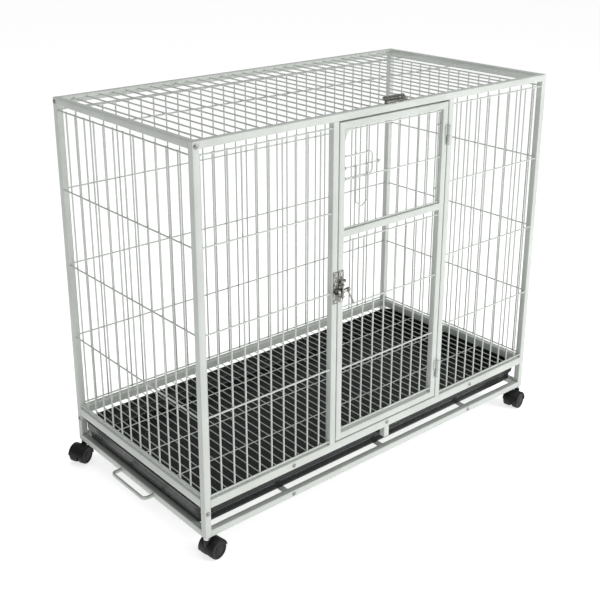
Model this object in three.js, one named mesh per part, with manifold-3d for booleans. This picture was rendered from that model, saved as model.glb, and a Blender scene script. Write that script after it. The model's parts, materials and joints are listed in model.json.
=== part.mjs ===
// Wire rabbit cage on casters: a square-tube frame with wire walls, roof and floor, a tube-framed front door
// with a small wire feed door in its upper half, and a plastic tray that slides out under the floor.
// Millimetres, +Z up, X along the front, front towards -Y, origin on the ground under the middle.

import * as THREE from "three";
import { mergeVertices } from "three/addons/utils/BufferGeometryUtils.js";
import Module from "manifold-3d";

const wasm = await Module();
wasm.setup();

// ---------------------------------------------------------------- driving dimensions
const WIDTH = 1075; // over the posts, left end to right end
const DEPTH = 545; // over the posts, front to back
const POST_HEIGHT = 870;
const FOOT = 56; // underside of the posts above the ground, the height of a caster

const TUBE = 16; // square tube of the frame and the door
const WALL = 1.2; // wall of that tube
const FLOOR_RAIL_HEIGHT = 20;
const FLOOR_RAIL_LIFT = 71.5; // underside of the floor rails above the post feet

const WIRE = 3.2; // wall, roof and door wire
const FLOOR_WIRE = 2.6;
const PITCH = 34.4; // between upright wires on the long walls and the roof
const LEFT_PITCH = 40; // between upright wires on the left end
const RIGHT_PITCH = 35; // between upright wires on the right end
const FLOOR_PITCH = 23.2;
const CROSS_WIRES = 5; // level wires on each wall
const PANEL_HEAD = 13; // from the top rails down to the highest level wire
const PANEL_FOOT = 7; // from the floor rails up to the lowest level wire
const PANEL_SETBACK = 3; // outer face of a wall's wires behind the outer face of its tubes

const DOOR_POST_X = 355; // left end of the cage to the left door post
const DOOR_OPENING = 342.4; // between the door posts
const DOOR_MARGIN = 2.5; // air round the door frame
const DOOR_SPLIT = 502; // underside of the door's middle rail above the floor rails
const DOOR_CELLS = 9; // spaces between upright wires across the door

const GAP = 0.3; // air between neighbouring pieces
const FUSE = 0.5; // how far two welded wires sink into each other
const RUN = 0.5; // clearance round a piece that slides or turns

const TRAY_WALL = 2.5;
const TRAY_SIDE_AIR = 4; // between the tray and the posts at front and back
const TRAY_END_AIR = 3; // ends of the tray inside the outer faces of the end rails it rests on
const TRAY_HEIGHT = 49;
const TRAY_STEP = 24; // height of the narrower lower half
const TRAY_INSET = 7; // how far the lower half stands back from the rim
const TRAY_CORNER = 26;

const STRAP = 3; // thickness of the flat bars under the tray
const STRAP_WIDTH = 16;
const STRAP_SPREAD_X = 305; // outer cross bars from the middle of the cage
const STRAP_SPREAD_Y = 70; // long bars from the middle of the cage

const HANDLE_LENGTH = 146;
const HANDLE_REACH = 30; // outer face of the handle beyond the left end
const HANDLE_BAR = 8;

const WHEEL_RADIUS = 22;
const WHEEL_WIDTH = 16.5;
const CASTER_TRAIL = 17; // axle behind the swivel axis
const CASTER_WEB = 9; // rib between the two wheels
const AXLE_RADIUS = 3;
const STEM_RADIUS = 4;
const BOSS_RADIUS = 7;
const BOSS_HEIGHT = 9;
const HOOD_AIR = 1.2;
const HOOD_WALL = 1.8;
const CASTER_TURN = { front_left: 8, back_left: 205, front_right: 190, back_right: 15 }; // degrees from +X

// ---------------------------------------------------------------- materials
const paint = () => new THREE.MeshStandardMaterial({ color: 0xd8ddd6, roughness: 0.45, metalness: 0.1 });
const nickel = () => new THREE.MeshStandardMaterial({ color: 0x9a958a, roughness: 0.45, metalness: 0.85 });
const bright = () => new THREE.MeshStandardMaterial({ color: 0xc8c8c8, roughness: 0.25, metalness: 0.9 });
const blackPlastic = () => new THREE.MeshStandardMaterial({ color: 0x1d1f1f, roughness: 0.6, metalness: 0 });
const blackRubber = () => new THREE.MeshStandardMaterial({ color: 0x161616, roughness: 0.8, metalness: 0 });

// ---------------------------------------------------------------- shapes and booleans
function solid(geometry) {
  const bare = geometry.clone();
  bare.deleteAttribute("normal");
  bare.deleteAttribute("uv");
  const merged = mergeVertices(bare, 1e-4);
  const triVerts = new Uint32Array(merged.index.array);
  const vertProperties = merged.attributes.position.array;
  return new wasm.Manifold(new wasm.Mesh({ numProp: 3, vertProperties, triVerts }));
}

function geometryOf(manifold) {
  const mesh = manifold.getMesh();
  const geometry = new THREE.BufferGeometry();
  geometry.setAttribute("position", new THREE.BufferAttribute(mesh.vertProperties, 3));
  geometry.setIndex(new THREE.BufferAttribute(mesh.triVerts, 1));
  geometry.computeVertexNormals();
  return geometry;
}

const join = (solids) => solids.reduce((sum, next) => sum.add(next));

// A block from its two X, two Y and two Z limits.
function block([x0, x1], [y0, y1], [z0, z1]) {
  const geometry = new THREE.BoxGeometry(x1 - x0, y1 - y0, z1 - z0);
  geometry.translate((x0 + x1) / 2, (y0 + y1) / 2, (z0 + z1) / 2);
  return solid(geometry);
}

// A rod from one point to another.
function rod(from, to, radius, sides = 12) {
  const a = new THREE.Vector3(...from);
  const b = new THREE.Vector3(...to);
  const geometry = new THREE.CylinderGeometry(radius, radius, a.distanceTo(b), sides);
  const turn = new THREE.Quaternion();
  turn.setFromUnitVectors(new THREE.Vector3(0, 1, 0), b.clone().sub(a).normalize());
  geometry.applyQuaternion(turn);
  geometry.translate(...a.add(b).multiplyScalar(0.5).toArray());
  return solid(geometry);
}

// Square tube along one axis (0, 1 or 2), open at both ends unless its high end is capped.
function tube(ranges, along, capped = false) {
  const bore = ranges.map(([low, high], axis) => {
    if (axis !== along) return [low + WALL, high - WALL];
    return [low - 1, capped ? high - WALL : high + 1];
  });
  return block(...ranges).subtract(block(...bore));
}

const span = (middle, size) => [middle - size / 2, middle + size / 2];

// ---------------------------------------------------------------- the assembly
const cage = new THREE.Group();

function add(name, shape, material) {
  const mesh = new THREE.Mesh(shape.isBufferGeometry ? shape : geometryOf(shape), material);
  mesh.name = name;
  cage.add(mesh);
  return mesh;
}

// Outer and inner limits that everything else is set from.
const LEFT = -WIDTH / 2;
const RIGHT = WIDTH / 2;
const FRONT = -DEPTH / 2;
const BACK = DEPTH / 2;
const TOP = FOOT + POST_HEIGHT;
const FLOOR_RAIL = [FOOT + FLOOR_RAIL_LIFT, FOOT + FLOOR_RAIL_LIFT + FLOOR_RAIL_HEIGHT];
const TOP_RAIL = [TOP - TUBE, TOP];
const LOW_RAIL = [FOOT, FOOT + TUBE];
const INNER_X = [LEFT + TUBE + GAP, RIGHT - TUBE - GAP];
const INNER_Y = [FRONT + TUBE + GAP, BACK - TUBE - GAP];
const FRONT_Y = [FRONT, FRONT + TUBE];
const BACK_Y = [BACK - TUBE, BACK];
const LEFT_X = [LEFT, LEFT + TUBE];
const RIGHT_X = [RIGHT - TUBE, RIGHT];

// ---------------------------------------------------------------- frame
const corners = [
  ["front_left", LEFT_X, FRONT_Y],
  ["front_right", RIGHT_X, FRONT_Y],
  ["back_left", LEFT_X, BACK_Y],
  ["back_right", RIGHT_X, BACK_Y],
];
for (const [name, x, y] of corners) add("post_" + name, tube([x, y, [FOOT, TOP]], 2, true), paint());

const levels = [
  ["top_rail", TOP_RAIL],
  ["floor_rail", FLOOR_RAIL],
  ["lower_rail", LOW_RAIL],
];
for (const [level, z] of levels) {
  add(level + "_front", tube([INNER_X, FRONT_Y, z], 0), paint());
  add(level + "_back", tube([INNER_X, BACK_Y, z], 0), paint());
  add(level + "_left", tube([LEFT_X, INNER_Y, z], 1), paint());
  add(level + "_right", tube([RIGHT_X, INNER_Y, z], 1), paint());
}

const DOOR_POST_Z = [FLOOR_RAIL[1] + GAP, TOP_RAIL[0] - GAP];
const LEFT_DOOR_POST_X = [LEFT + DOOR_POST_X, LEFT + DOOR_POST_X + TUBE];
const RIGHT_DOOR_POST_X = LEFT_DOOR_POST_X.map((x) => x + TUBE + DOOR_OPENING);
add("door_post_left", tube([LEFT_DOOR_POST_X, FRONT_Y, DOOR_POST_Z], 2), paint());
add("door_post_right", tube([RIGHT_DOOR_POST_X, FRONT_Y, DOOR_POST_Z], 2), paint());

// ---------------------------------------------------------------- welded wire panels
// Positions from the first, one pitch apart, that stay a wire clear of the end.
function stepped(first, pitch, end) {
  const places = [];
  for (let at = first; at < end - WIRE * 2; at += pitch) places.push(at);
  return places;
}

function evenly(low, high, cells) {
  return Array.from({ length: cells - 1 }, (_, i) => low + ((i + 1) * (high - low)) / cells);
}

// A flat grid of square wires, as one solid. The outer layer runs along u at the heights "across"; the
// inner layer runs along v at the places "uprights". The first and last outer wires are fused to every
// upright. Those between pass just in front of the uprights and are welded to the first and last one.
// "face" is the outer face of the grid, "inward" is +1 or -1, and "place" turns u, depth, v into X, Y, Z.
function wireGrid({ size, uprights, span: [v0, v1], across, reach, face, inward, place }) {
  const layer = (near, far) => [face + inward * near, face + inward * far].sort((a, b) => a - b);
  const uprightLayer = layer(size + GAP, 2 * size + GAP);
  const fusedLayer = layer(GAP + FUSE, size + GAP + FUSE);
  const parts = uprights.map((u) => place(span(u, size), uprightLayer, [v0, v1]));
  across.forEach((v, i) => {
    const fused = i === 0 || i === across.length - 1;
    parts.push(place(reach, fused ? fusedLayer : layer(0, size), span(v, size)));
    if (fused) return;
    for (const u of [uprights[0], uprights[uprights.length - 1]])
      parts.push(place(span(u, size - FUSE), layer(size - FUSE, size + GAP + FUSE), span(v, size - FUSE)));
  });
  return join(parts);
}

const alongX = (u, depth, v) => block(u, depth, v);
const alongY = (u, depth, v) => block(depth, u, v);
const levelPlane = (u, depth, v) => block(u, v, depth);

const LOWEST_WIRE = FLOOR_RAIL[1] + PANEL_FOOT;
const HIGHEST_WIRE = TOP_RAIL[0] - PANEL_HEAD;
const WALL_SPAN = [LOWEST_WIRE - WIRE / 2, HIGHEST_WIRE + WIRE / 2];
const WALL_LEVELS = Array.from(
  { length: CROSS_WIRES },
  (_, i) => LOWEST_WIRE + (i * (HIGHEST_WIRE - LOWEST_WIRE)) / (CROSS_WIRES - 1),
);

function wall(name, uprights, reach, face, inward, place) {
  const grid = { size: WIRE, uprights, span: WALL_SPAN, across: WALL_LEVELS, reach, face, inward, place };
  add(name, wireGrid(grid), paint());
}

const FRONT_FACE = FRONT + PANEL_SETBACK;
const leftBay = [INNER_X[0], LEFT_DOOR_POST_X[0] - GAP];
const rightBay = [RIGHT_DOOR_POST_X[1] + GAP, INNER_X[1]];
const nearPost = WIRE * 1.2; // middle of the first wire beside a post
const leftBayWires = [leftBay[0] + nearPost, ...stepped(leftBay[0] + PITCH, PITCH, leftBay[1])];
wall("wall_front_left", leftBayWires, leftBay, FRONT_FACE, 1, alongX);
wall("wall_front_right", stepped(rightBay[0] + PITCH, PITCH, rightBay[1]), rightBay, FRONT_FACE, 1, alongX);

const backCells = Math.round((INNER_X[1] - INNER_X[0]) / PITCH);
wall("wall_back", evenly(...INNER_X, backCells), INNER_X, BACK - PANEL_SETBACK, -1, alongX);
const leftEndWires = stepped(INNER_Y[0] + nearPost, LEFT_PITCH, INNER_Y[1]);
wall("wall_left", leftEndWires, INNER_Y, LEFT + PANEL_SETBACK, 1, alongY);
const rightEndWires = stepped(INNER_Y[0] + RIGHT_PITCH / 2, RIGHT_PITCH, INNER_Y[1]);
wall("wall_right", rightEndWires, INNER_Y, RIGHT - PANEL_SETBACK, -1, alongY);

// Roof: cross-cage wires butted to the long rails, on two long wires that hang beneath them.
const ROOF_SETBACK = 4.5; // roof wires below the top of the rails
const ROOF_WIRES_Y = [-5, 174]; // from the middle of the cage
const FIRST_ROOF_CELL = 0.83; // of a pitch
const roofUnderside = TOP - ROOF_SETBACK - 2 * WIRE - GAP;
const roofWires = stepped(INNER_X[0] + PITCH * FIRST_ROOF_CELL, PITCH, INNER_X[1]);
const roof = { size: WIRE, uprights: roofWires, span: INNER_Y, across: ROOF_WIRES_Y, reach: INNER_X };
add("roof_grid", wireGrid({ ...roof, face: roofUnderside, inward: 1, place: levelPlane }), paint());

// Floor: closely spaced cross-cage wires under five long wires, level with the foot of the floor rails.
const FLOOR_WIRE_SPREAD = 127; // between the long wires
const FLOOR_EDGE = 2.5; // outermost long wires from the rails
const floorTop = FLOOR_RAIL[0] + FLOOR_WIRE * 2 + GAP;
const floorCells = Math.round((INNER_X[1] - INNER_X[0]) / FLOOR_PITCH);
const floorGrid = {
  size: FLOOR_WIRE,
  uprights: evenly(...INNER_X, floorCells),
  span: INNER_Y,
  across: [INNER_Y[0] + FLOOR_EDGE, -FLOOR_WIRE_SPREAD, 0, FLOOR_WIRE_SPREAD, INNER_Y[1] - FLOOR_EDGE],
  reach: INNER_X,
};
add("floor_grid", wireGrid({ ...floorGrid, face: floorTop, inward: -1, place: levelPlane }), paint());

// ---------------------------------------------------------------- tray, its bars and its stop
function roundedOutline(width, depth, radius) {
  const x = width / 2;
  const y = depth / 2;
  const shape = new THREE.Shape();
  shape.absarc(x - radius, y - radius, radius, 0, Math.PI / 2);
  shape.absarc(radius - x, y - radius, radius, Math.PI / 2, Math.PI);
  shape.absarc(radius - x, radius - y, radius, Math.PI, 1.5 * Math.PI);
  shape.absarc(x - radius, radius - y, radius, 1.5 * Math.PI, 2 * Math.PI);
  return shape;
}

function slab(width, depth, radius, [z0, z1]) {
  const settings = { depth: z1 - z0, bevelEnabled: false, curveSegments: 4 };
  const geometry = new THREE.ExtrudeGeometry(roundedOutline(width, depth, radius), settings);
  geometry.translate(0, 0, z0);
  return solid(geometry);
}

const TRAY_Z = LOW_RAIL[1] + GAP;
const trayWidth = WIDTH - 2 * TRAY_END_AIR;
const trayDepth = DEPTH - 2 * (TUBE + TRAY_SIDE_AIR);
const stepZ = TRAY_Z + TRAY_STEP;
const rimZ = TRAY_Z + TRAY_HEIGHT;
function trayForm(inset, low) {
  const lower = 2 * (TRAY_INSET + inset);
  const radius = TRAY_CORNER - inset;
  const top = rimZ + (inset ? 1 : 0);
  return join([
    slab(trayWidth - lower, trayDepth - lower, radius, [low, top]),
    slab(trayWidth - 2 * inset, trayDepth - 2 * inset, radius, [stepZ + (inset ? TRAY_WALL : 0), top]),
  ]);
}
add("tray", trayForm(0, TRAY_Z).subtract(trayForm(TRAY_WALL, TRAY_Z + TRAY_WALL)), blackPlastic());

const strapZ = [LOW_RAIL[1] - STRAP, LOW_RAIL[1]];
const straps = [-STRAP_SPREAD_X, 0, STRAP_SPREAD_X].map((x) => block(span(x, STRAP_WIDTH), INNER_Y, strapZ));
for (const y of [-STRAP_SPREAD_Y, STRAP_SPREAD_Y]) straps.push(block(INNER_X, span(y, STRAP_WIDTH), strapZ));
add("tray_support_bars", join(straps), paint());

const doorMiddle = (LEFT_DOOR_POST_X[1] + RIGHT_DOOR_POST_X[0]) / 2;
const TRAY_STOP_DROP = 27;
const stopZ = [FLOOR_RAIL[0] - GAP - TRAY_STOP_DROP, FLOOR_RAIL[0] - GAP];
add("tray_stop", tube([span(doorMiddle, TUBE), FRONT_Y, stopZ], 2), paint());

// ---------------------------------------------------------------- push handle on the left end
const HANDLE_BEND = 14; // outer radius of its two bends
function pushHandle() {
  const half = HANDLE_LENGTH / 2;
  const bend = HANDLE_BEND;
  const outline = new THREE.Shape();
  outline.moveTo(0, -half);
  outline.lineTo(bend - HANDLE_REACH, -half);
  outline.absarc(bend - HANDLE_REACH, bend - half, bend, 1.5 * Math.PI, Math.PI, true);
  outline.absarc(bend - HANDLE_REACH, half - bend, bend, Math.PI, Math.PI / 2, true);
  outline.lineTo(0, half);
  outline.lineTo(0, half - HANDLE_BAR);
  outline.absarc(bend - HANDLE_REACH, half - bend, bend - HANDLE_BAR, Math.PI / 2, Math.PI);
  outline.absarc(bend - HANDLE_REACH, bend - half, bend - HANDLE_BAR, Math.PI, 1.5 * Math.PI);
  outline.lineTo(0, HANDLE_BAR - half);
  const settings = { depth: HANDLE_BAR, bevelEnabled: false, curveSegments: 4 };
  const geometry = new THREE.ExtrudeGeometry(outline, settings);
  geometry.translate(LEFT - GAP, 0, (LOW_RAIL[0] + LOW_RAIL[1] - HANDLE_BAR) / 2);
  return solid(geometry);
}
add("push_handle", pushHandle(), paint());

// ---------------------------------------------------------------- front door
const DOOR_X = [LEFT_DOOR_POST_X[1] + DOOR_MARGIN, RIGHT_DOOR_POST_X[0] - DOOR_MARGIN];
const DOOR_Z = [FLOOR_RAIL[1] + DOOR_MARGIN + 1, TOP_RAIL[0] - DOOR_MARGIN - 1];
const LEFT_STILE_X = [DOOR_X[0], DOOR_X[0] + TUBE];
const RIGHT_STILE_X = [DOOR_X[1] - TUBE, DOOR_X[1]];
const MID_RAIL_Z = [FLOOR_RAIL[1] + DOOR_SPLIT, FLOOR_RAIL[1] + DOOR_SPLIT + TUBE];
const DOOR_FOOT_Z = [DOOR_Z[0], DOOR_Z[0] + TUBE];
const DOOR_HEAD_Z = [DOOR_Z[1] - TUBE, DOOR_Z[1]];
const OPENING_X = [LEFT_STILE_X[1], RIGHT_STILE_X[0]];

// Feed door and its wire bolt, set out first because the door frame is drilled for the bolt.
const FEED_AIR = 2.2; // between the feed door and the door frame
const FEED_HINGE_AIR = 4.4; // the same on the hinge side, room for the wires to swing through
const FEED_X = [OPENING_X[0] + FEED_AIR, OPENING_X[1] - FEED_HINGE_AIR];
const FEED_Z = [MID_RAIL_Z[1] + FEED_AIR, DOOR_HEAD_Z[0] - FEED_AIR];
const FEED_LEVELS = [FEED_Z[0] + WIRE / 2, (FEED_Z[0] + FEED_Z[1]) / 2, FEED_Z[1] - WIRE / 2];
const feedCell = (FEED_X[1] - FEED_X[0] - WIRE) / DOOR_CELLS;
const feedUpright = (i) => FEED_X[0] + WIRE / 2 + i * feedCell;
const BOLT_Y = FRONT_FACE + WIRE / 2; // the bolt lies in the layer of the level wires
const BOLT_RISE = 26; // bolt above the middle level wire
const BOLT_Z = FEED_LEVELS[1] + BOLT_RISE;
const BOLT_HOLE = WIRE + 2 * RUN;

// Eyes on the right stile that the last upright of the feed door turns in.
const UPRIGHT_Y = FRONT_FACE + WIRE * 1.5 + GAP;
const HINGE_EYE_RADIUS = WIRE * 0.7072 + RUN;
const HINGE_EYE_RIM = 1.6;
const HINGE_EYE_INSET = 34; // from the ends of the feed door
const HINGE_EYE_Z = [FEED_Z[0] + HINGE_EYE_INSET, FEED_Z[1] - HINGE_EYE_INSET];
function hingeEye(z) {
  const axis = feedUpright(DOOR_CELLS);
  const size = HINGE_EYE_RADIUS + HINGE_EYE_RIM;
  const lug = block([axis - size, OPENING_X[1] + FUSE], span(UPRIGHT_Y, 2 * size), span(z, WIRE));
  return lug.subtract(rod([axis, UPRIGHT_Y, z - WIRE], [axis, UPRIGHT_Y, z + WIRE], HINGE_EYE_RADIUS, 16));
}

function doorFrame() {
  const outer = [
    block(LEFT_STILE_X, FRONT_Y, DOOR_Z),
    block(RIGHT_STILE_X, FRONT_Y, DOOR_Z),
    ...[DOOR_FOOT_Z, MID_RAIL_Z, DOOR_HEAD_Z].map((z) => block(DOOR_X, FRONT_Y, z)),
  ];
  const shrink = ([low, high]) => [low + WALL, high - WALL];
  const bores = [
    block(shrink(LEFT_STILE_X), shrink(FRONT_Y), shrink(DOOR_Z)),
    block(shrink(RIGHT_STILE_X), shrink(FRONT_Y), shrink(DOOR_Z)),
    ...[DOOR_FOOT_Z, MID_RAIL_Z, DOOR_HEAD_Z].map((z) => block(shrink(DOOR_X), shrink(FRONT_Y), shrink(z))),
    block([OPENING_X[0] - WALL - 1, OPENING_X[0] + 1], span(BOLT_Y, BOLT_HOLE), span(BOLT_Z, BOLT_HOLE)),
  ];
  return join([join(outer).subtract(join(bores)), ...HINGE_EYE_Z.map(hingeEye)]);
}
add("door_frame", doorFrame(), paint());

const MESH_FOOT = 10; // lowest level wire above the door's foot rail
const meshReach = [OPENING_X[0] + GAP, OPENING_X[1] - GAP];
const meshLevels = [0, 1, 2, 3].map((i) => {
  const low = DOOR_FOOT_Z[1] + MESH_FOOT;
  const high = MID_RAIL_Z[0] - PANEL_HEAD;
  return low + (i * (high - low)) / 3;
});
const doorMesh = {
  size: WIRE,
  uprights: evenly(...meshReach, DOOR_CELLS),
  span: [meshLevels[0] - WIRE / 2, meshLevels[3] + WIRE / 2],
  across: meshLevels,
  reach: meshReach,
};
add("door_lower_mesh", wireGrid({ ...doorMesh, face: FRONT_FACE, inward: 1, place: alongX }), paint());

// Curved plate in the upper left corner of the door frame.
const GUSSET = 22;
const GUSSET_THICKNESS = 2;
const GUSSET_WAIST = GUSSET * 0.2; // how far its curved edge is pulled out of the corner
function doorGusset() {
  const corner = [OPENING_X[0] + GAP, DOOR_HEAD_Z[0] - GAP];
  const plate = new THREE.Shape();
  plate.moveTo(0, 0);
  plate.lineTo(GUSSET, 0);
  plate.quadraticCurveTo(GUSSET_WAIST, -GUSSET_WAIST, 0, -GUSSET);
  const settings = { depth: GUSSET_THICKNESS, bevelEnabled: false, curveSegments: 5 };
  const geometry = new THREE.ExtrudeGeometry(plate, settings);
  geometry.rotateX(Math.PI / 2);
  geometry.translate(corner[0], FRONT + GUSSET_THICKNESS, corner[1]);
  return solid(geometry);
}
add("door_gusset", doorGusset(), paint());

// Barrel hinges in front of the gap beside the right door post: lower half and pin on the post, upper half
// on the door.
const HINGE_RADIUS = 4.5;
const HINGE_PIN = 2.4;
const HINGE_HEIGHT = 46;
const HINGE_TAB = 2; // thickness of the leaf
const HINGE_LEAF = 5; // reach of the leaf beyond the barrel
const HINGE_X = (DOOR_X[1] + RIGHT_DOOR_POST_X[0]) / 2;
const HINGE_Y = FRONT - HINGE_RADIUS - GAP;
const HINGE_INSET = 78; // hinge middles from the ends of the door
function hingeHalf(low, high, side) {
  const barrel = rod([HINGE_X, HINGE_Y, low], [HINGE_X, HINGE_Y, high], HINGE_RADIUS);
  const tab = [HINGE_X, HINGE_X + side * (HINGE_RADIUS + HINGE_LEAF)].sort((a, b) => a - b);
  return barrel.add(block(tab, [FRONT - GAP - HINGE_TAB, FRONT - GAP], [low, high]));
}
function doorHinge(name, middle) {
  const low = middle - HINGE_HEIGHT / 2;
  const high = middle + HINGE_HEIGHT / 2;
  const pin = rod([HINGE_X, HINGE_Y, low + 1], [HINGE_X, HINGE_Y, high - 2], HINGE_PIN);
  const socket = rod([HINGE_X, HINGE_Y, middle - 1], [HINGE_X, HINGE_Y, high - 1], HINGE_PIN + RUN / 2);
  add(name + "_post_half", hingeHalf(low, middle - GAP / 2, 1).add(pin), paint());
  add(name + "_door_half", hingeHalf(middle + GAP / 2, high, -1).subtract(socket), paint());
}
doorHinge("upper_hinge", DOOR_Z[1] - HINGE_INSET);
doorHinge("lower_hinge", DOOR_Z[0] + HINGE_INSET);

// ---------------------------------------------------------------- feed door in the upper half of the door
const EYE = BOLT_HOLE + 3; // outside size of the eyes that the bolt slides in
const EYE_UPRIGHTS = [0, 3]; // uprights that carry them
const LOOP_FRONT = FRONT_FACE - WIRE - GAP; // front layer of the hairpin guide
const HAIRPIN_RISE = [4.5, 53]; // its two legs above the middle level wire
const HAIRPIN_REACH = 79; // from the first upright
const HAIRPIN_Z = HAIRPIN_RISE.map((rise) => FEED_LEVELS[1] + rise);
const HAIRPIN_X = feedUpright(0) + HAIRPIN_REACH;

function feedDoor() {
  const uprights = Array.from({ length: DOOR_CELLS + 1 }, (_, i) => feedUpright(i));
  const grid = { size: WIRE, uprights, span: FEED_Z, across: FEED_LEVELS, reach: FEED_X };
  const frontLayer = [LOOP_FRONT, LOOP_FRONT + WIRE];
  const hairpin = HAIRPIN_Z.map((z) => block([FEED_X[0], HAIRPIN_X], frontLayer, span(z, WIRE)));
  hairpin.push(block([HAIRPIN_X - WIRE, HAIRPIN_X], frontLayer, [HAIRPIN_Z[0], HAIRPIN_Z[1]]));
  const weldDepth = [LOOP_FRONT + WIRE - FUSE, FRONT_FACE + WIRE + GAP + FUSE];
  const weldX = span(feedUpright(1), WIRE - FUSE);
  const welds = HAIRPIN_Z.map((z) => block(weldX, weldDepth, span(z, WIRE - FUSE)));
  const eyeDepth = [BOLT_Y - EYE / 2, FRONT_FACE + WIRE + GAP + FUSE];
  const hole = block([FEED_X[0] - 1, FEED_X[1]], span(BOLT_Y, BOLT_HOLE), span(BOLT_Z, BOLT_HOLE));
  const eyes = EYE_UPRIGHTS.map((i) => block(span(feedUpright(i), WIRE), eyeDepth, span(BOLT_Z, EYE)));
  return join([
    wireGrid({ ...grid, face: FRONT_FACE, inward: 1, place: alongX }),
    ...hairpin,
    ...welds,
    ...eyes.map((eye) => eye.subtract(hole)),
  ]);
}
add("feed_door", feedDoor(), paint());

// Wire bolt: a straight rod with a hanging loop for the finger, just clear of the frame when unlocked.
const BOLT_TAIL = 28; // end of the bolt beyond the hairpin
const LOOP_LEGS = [26, 62]; // legs of the finger loop from the first upright
const LOOP_DROP = 78; // length of those legs
const LOOP_POINT = 14; // depth of the V that joins them
const BOLT_X = [OPENING_X[0] + 0.4, HAIRPIN_X + BOLT_TAIL];
const LOOP_X = LOOP_LEGS.map((leg) => feedUpright(0) + leg);
function feedBolt() {
  const layer = [LOOP_FRONT - WIRE - GAP, LOOP_FRONT - GAP];
  const middle = (LOOP_X[0] + LOOP_X[1]) / 2;
  const y = (layer[0] + layer[1]) / 2;
  const parts = [block(BOLT_X, span(BOLT_Y, WIRE), span(BOLT_Z, WIRE))];
  for (const x of LOOP_X) {
    parts.push(block(span(x, WIRE), layer, [BOLT_Z - LOOP_DROP, BOLT_Z + WIRE / 2]));
    parts.push(block(span(x, WIRE), [layer[0], BOLT_Y], span(BOLT_Z, WIRE)));
    parts.push(rod([x, y, BOLT_Z - LOOP_DROP], [middle, y, BOLT_Z - LOOP_DROP - LOOP_POINT], WIRE / 2, 6));
  }
  return join(parts);
}
add("feed_door_bolt", feedBolt(), paint());

// ---------------------------------------------------------------- door latch
const PLATE = 1.5;
const LATCH_LIFT = 473; // latch bolt above the post feet
const LATCH_BOLT_RADIUS = 4;
const LATCH_AIR = 1.2; // latch bolt to the plate behind it
const GUIDE_WALL = 2.6; // metal round the latch bolt
const KEEPER_INSET = 3; // keeper plate from the left face of its post
const KEEPER_LOOP = [7, 19]; // length and height of the keeper's loop
const COLLAR_OFFSET = [4, 10]; // collar of the lever from the stile
const GROOVE_RADIUS = 3; // waist of the bolt that the collar turns on
const LATCH_Z = FOOT + LATCH_LIFT;
const LATCH_Y = FRONT - GAP - PLATE - LATCH_BOLT_RADIUS - LATCH_AIR;
const plateY = [FRONT - GAP - PLATE, FRONT - GAP];
const LATCH_PLATE_Z = [LATCH_Z - 29, LATCH_Z + 46];
const LATCH_THROW = 9;
const collarX = COLLAR_OFFSET.map((offset) => LEFT_STILE_X[1] + offset);
const latchRod = ([x0, x1], radius) => rod([x0, LATCH_Y, LATCH_Z], [x1, LATCH_Y, LATCH_Z], radius, 16);
const boltBore = (x0, x1) => latchRod([x0, x1], LATCH_BOLT_RADIUS + RUN);

function latchBase() {
  const x = [LEFT_STILE_X[0] + GAP, LEFT_STILE_X[1] - GAP];
  const middle = (x[0] + x[1]) / 2;
  const round = (x[1] - x[0]) / 2;
  const plate = block(x, plateY, [LATCH_PLATE_Z[0] + round, LATCH_PLATE_Z[1]]);
  const foot = LATCH_PLATE_Z[0] + round;
  const disc = rod([middle, plateY[0], foot], [middle, plateY[1], foot], round, 16);
  const guide = [x[0], collarX[0] - LATCH_THROW - 2 * GAP];
  const barrel = latchRod(guide, LATCH_BOLT_RADIUS + GUIDE_WALL);
  const saddle = block(guide, [LATCH_Y, plateY[1]], span(LATCH_Z, 2 * LATCH_BOLT_RADIUS + 5));
  const cut = boltBore(x[0] - 1, x[1] + 1);
  return join([plate, disc, barrel, saddle]).subtract(cut);
}
add("latch_base", latchBase(), nickel());

function latchKeeper() {
  const x = [LEFT_DOOR_POST_X[0] + KEEPER_INSET, LEFT_DOOR_POST_X[1] - GAP];
  const plate = block(x, plateY, LATCH_PLATE_Z);
  const loopX = [x[1] - KEEPER_LOOP[0], x[1]];
  const loopY = [LATCH_Y - LATCH_BOLT_RADIUS - GUIDE_WALL, plateY[1]];
  const loop = block(loopX, loopY, span(LATCH_Z, KEEPER_LOOP[1]));
  return plate.add(loop).subtract(boltBore(loopX[0] - 1, loopX[1] + 1));
}
add("latch_keeper", latchKeeper(), nickel());

const LATCH_KNOB = 3; // end of the bolt beyond the collar
const LATCH_BOLT_X = [LEFT_STILE_X[0] - DOOR_MARGIN + 0.6, collarX[1] + LATCH_KNOB];
function latchBolt() {
  const [x0, x1] = LATCH_BOLT_X;
  const groove = latchRod([collarX[0] - GAP, collarX[1] + GAP], GROOVE_RADIUS);
  const fore = latchRod([x0, collarX[0] - GAP], LATCH_BOLT_RADIUS);
  const knob = latchRod([collarX[1] + GAP, x1], LATCH_BOLT_RADIUS);
  return join([fore, groove, knob]);
}
add("latch_bolt", latchBolt(), nickel());

// The lever's collar on the bolt, its arm, and the thicker grip at the end of the arm. Offsets are from the
// middle of the collar.
const COLLAR_OUTER = 5; // clears the plate when the bolt is home
const ARM = { from: [0, -1, -4], to: [11, -4, -28], radius: 1.8 };
const GRIP = { from: [10, -3.7, -26], to: [14.6, -5, -36], radius: 2.6 };
function latchLever() {
  const x = (collarX[0] + collarX[1]) / 2;
  const offset = ([dx, dy, dz]) => [x + dx, LATCH_Y + dy, LATCH_Z + dz];
  const collar = latchRod(collarX, COLLAR_OUTER);
  const arm = rod(offset(ARM.from), offset(ARM.to), ARM.radius, 8);
  const grip = rod(offset(GRIP.from), offset(GRIP.to), GRIP.radius, 8);
  const bore = latchRod([x - 9, x + 9], GROOVE_RADIUS + RUN / 2);
  return join([collar, arm, grip]).subtract(bore);
}
add("latch_lever", latchLever(), nickel());

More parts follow.
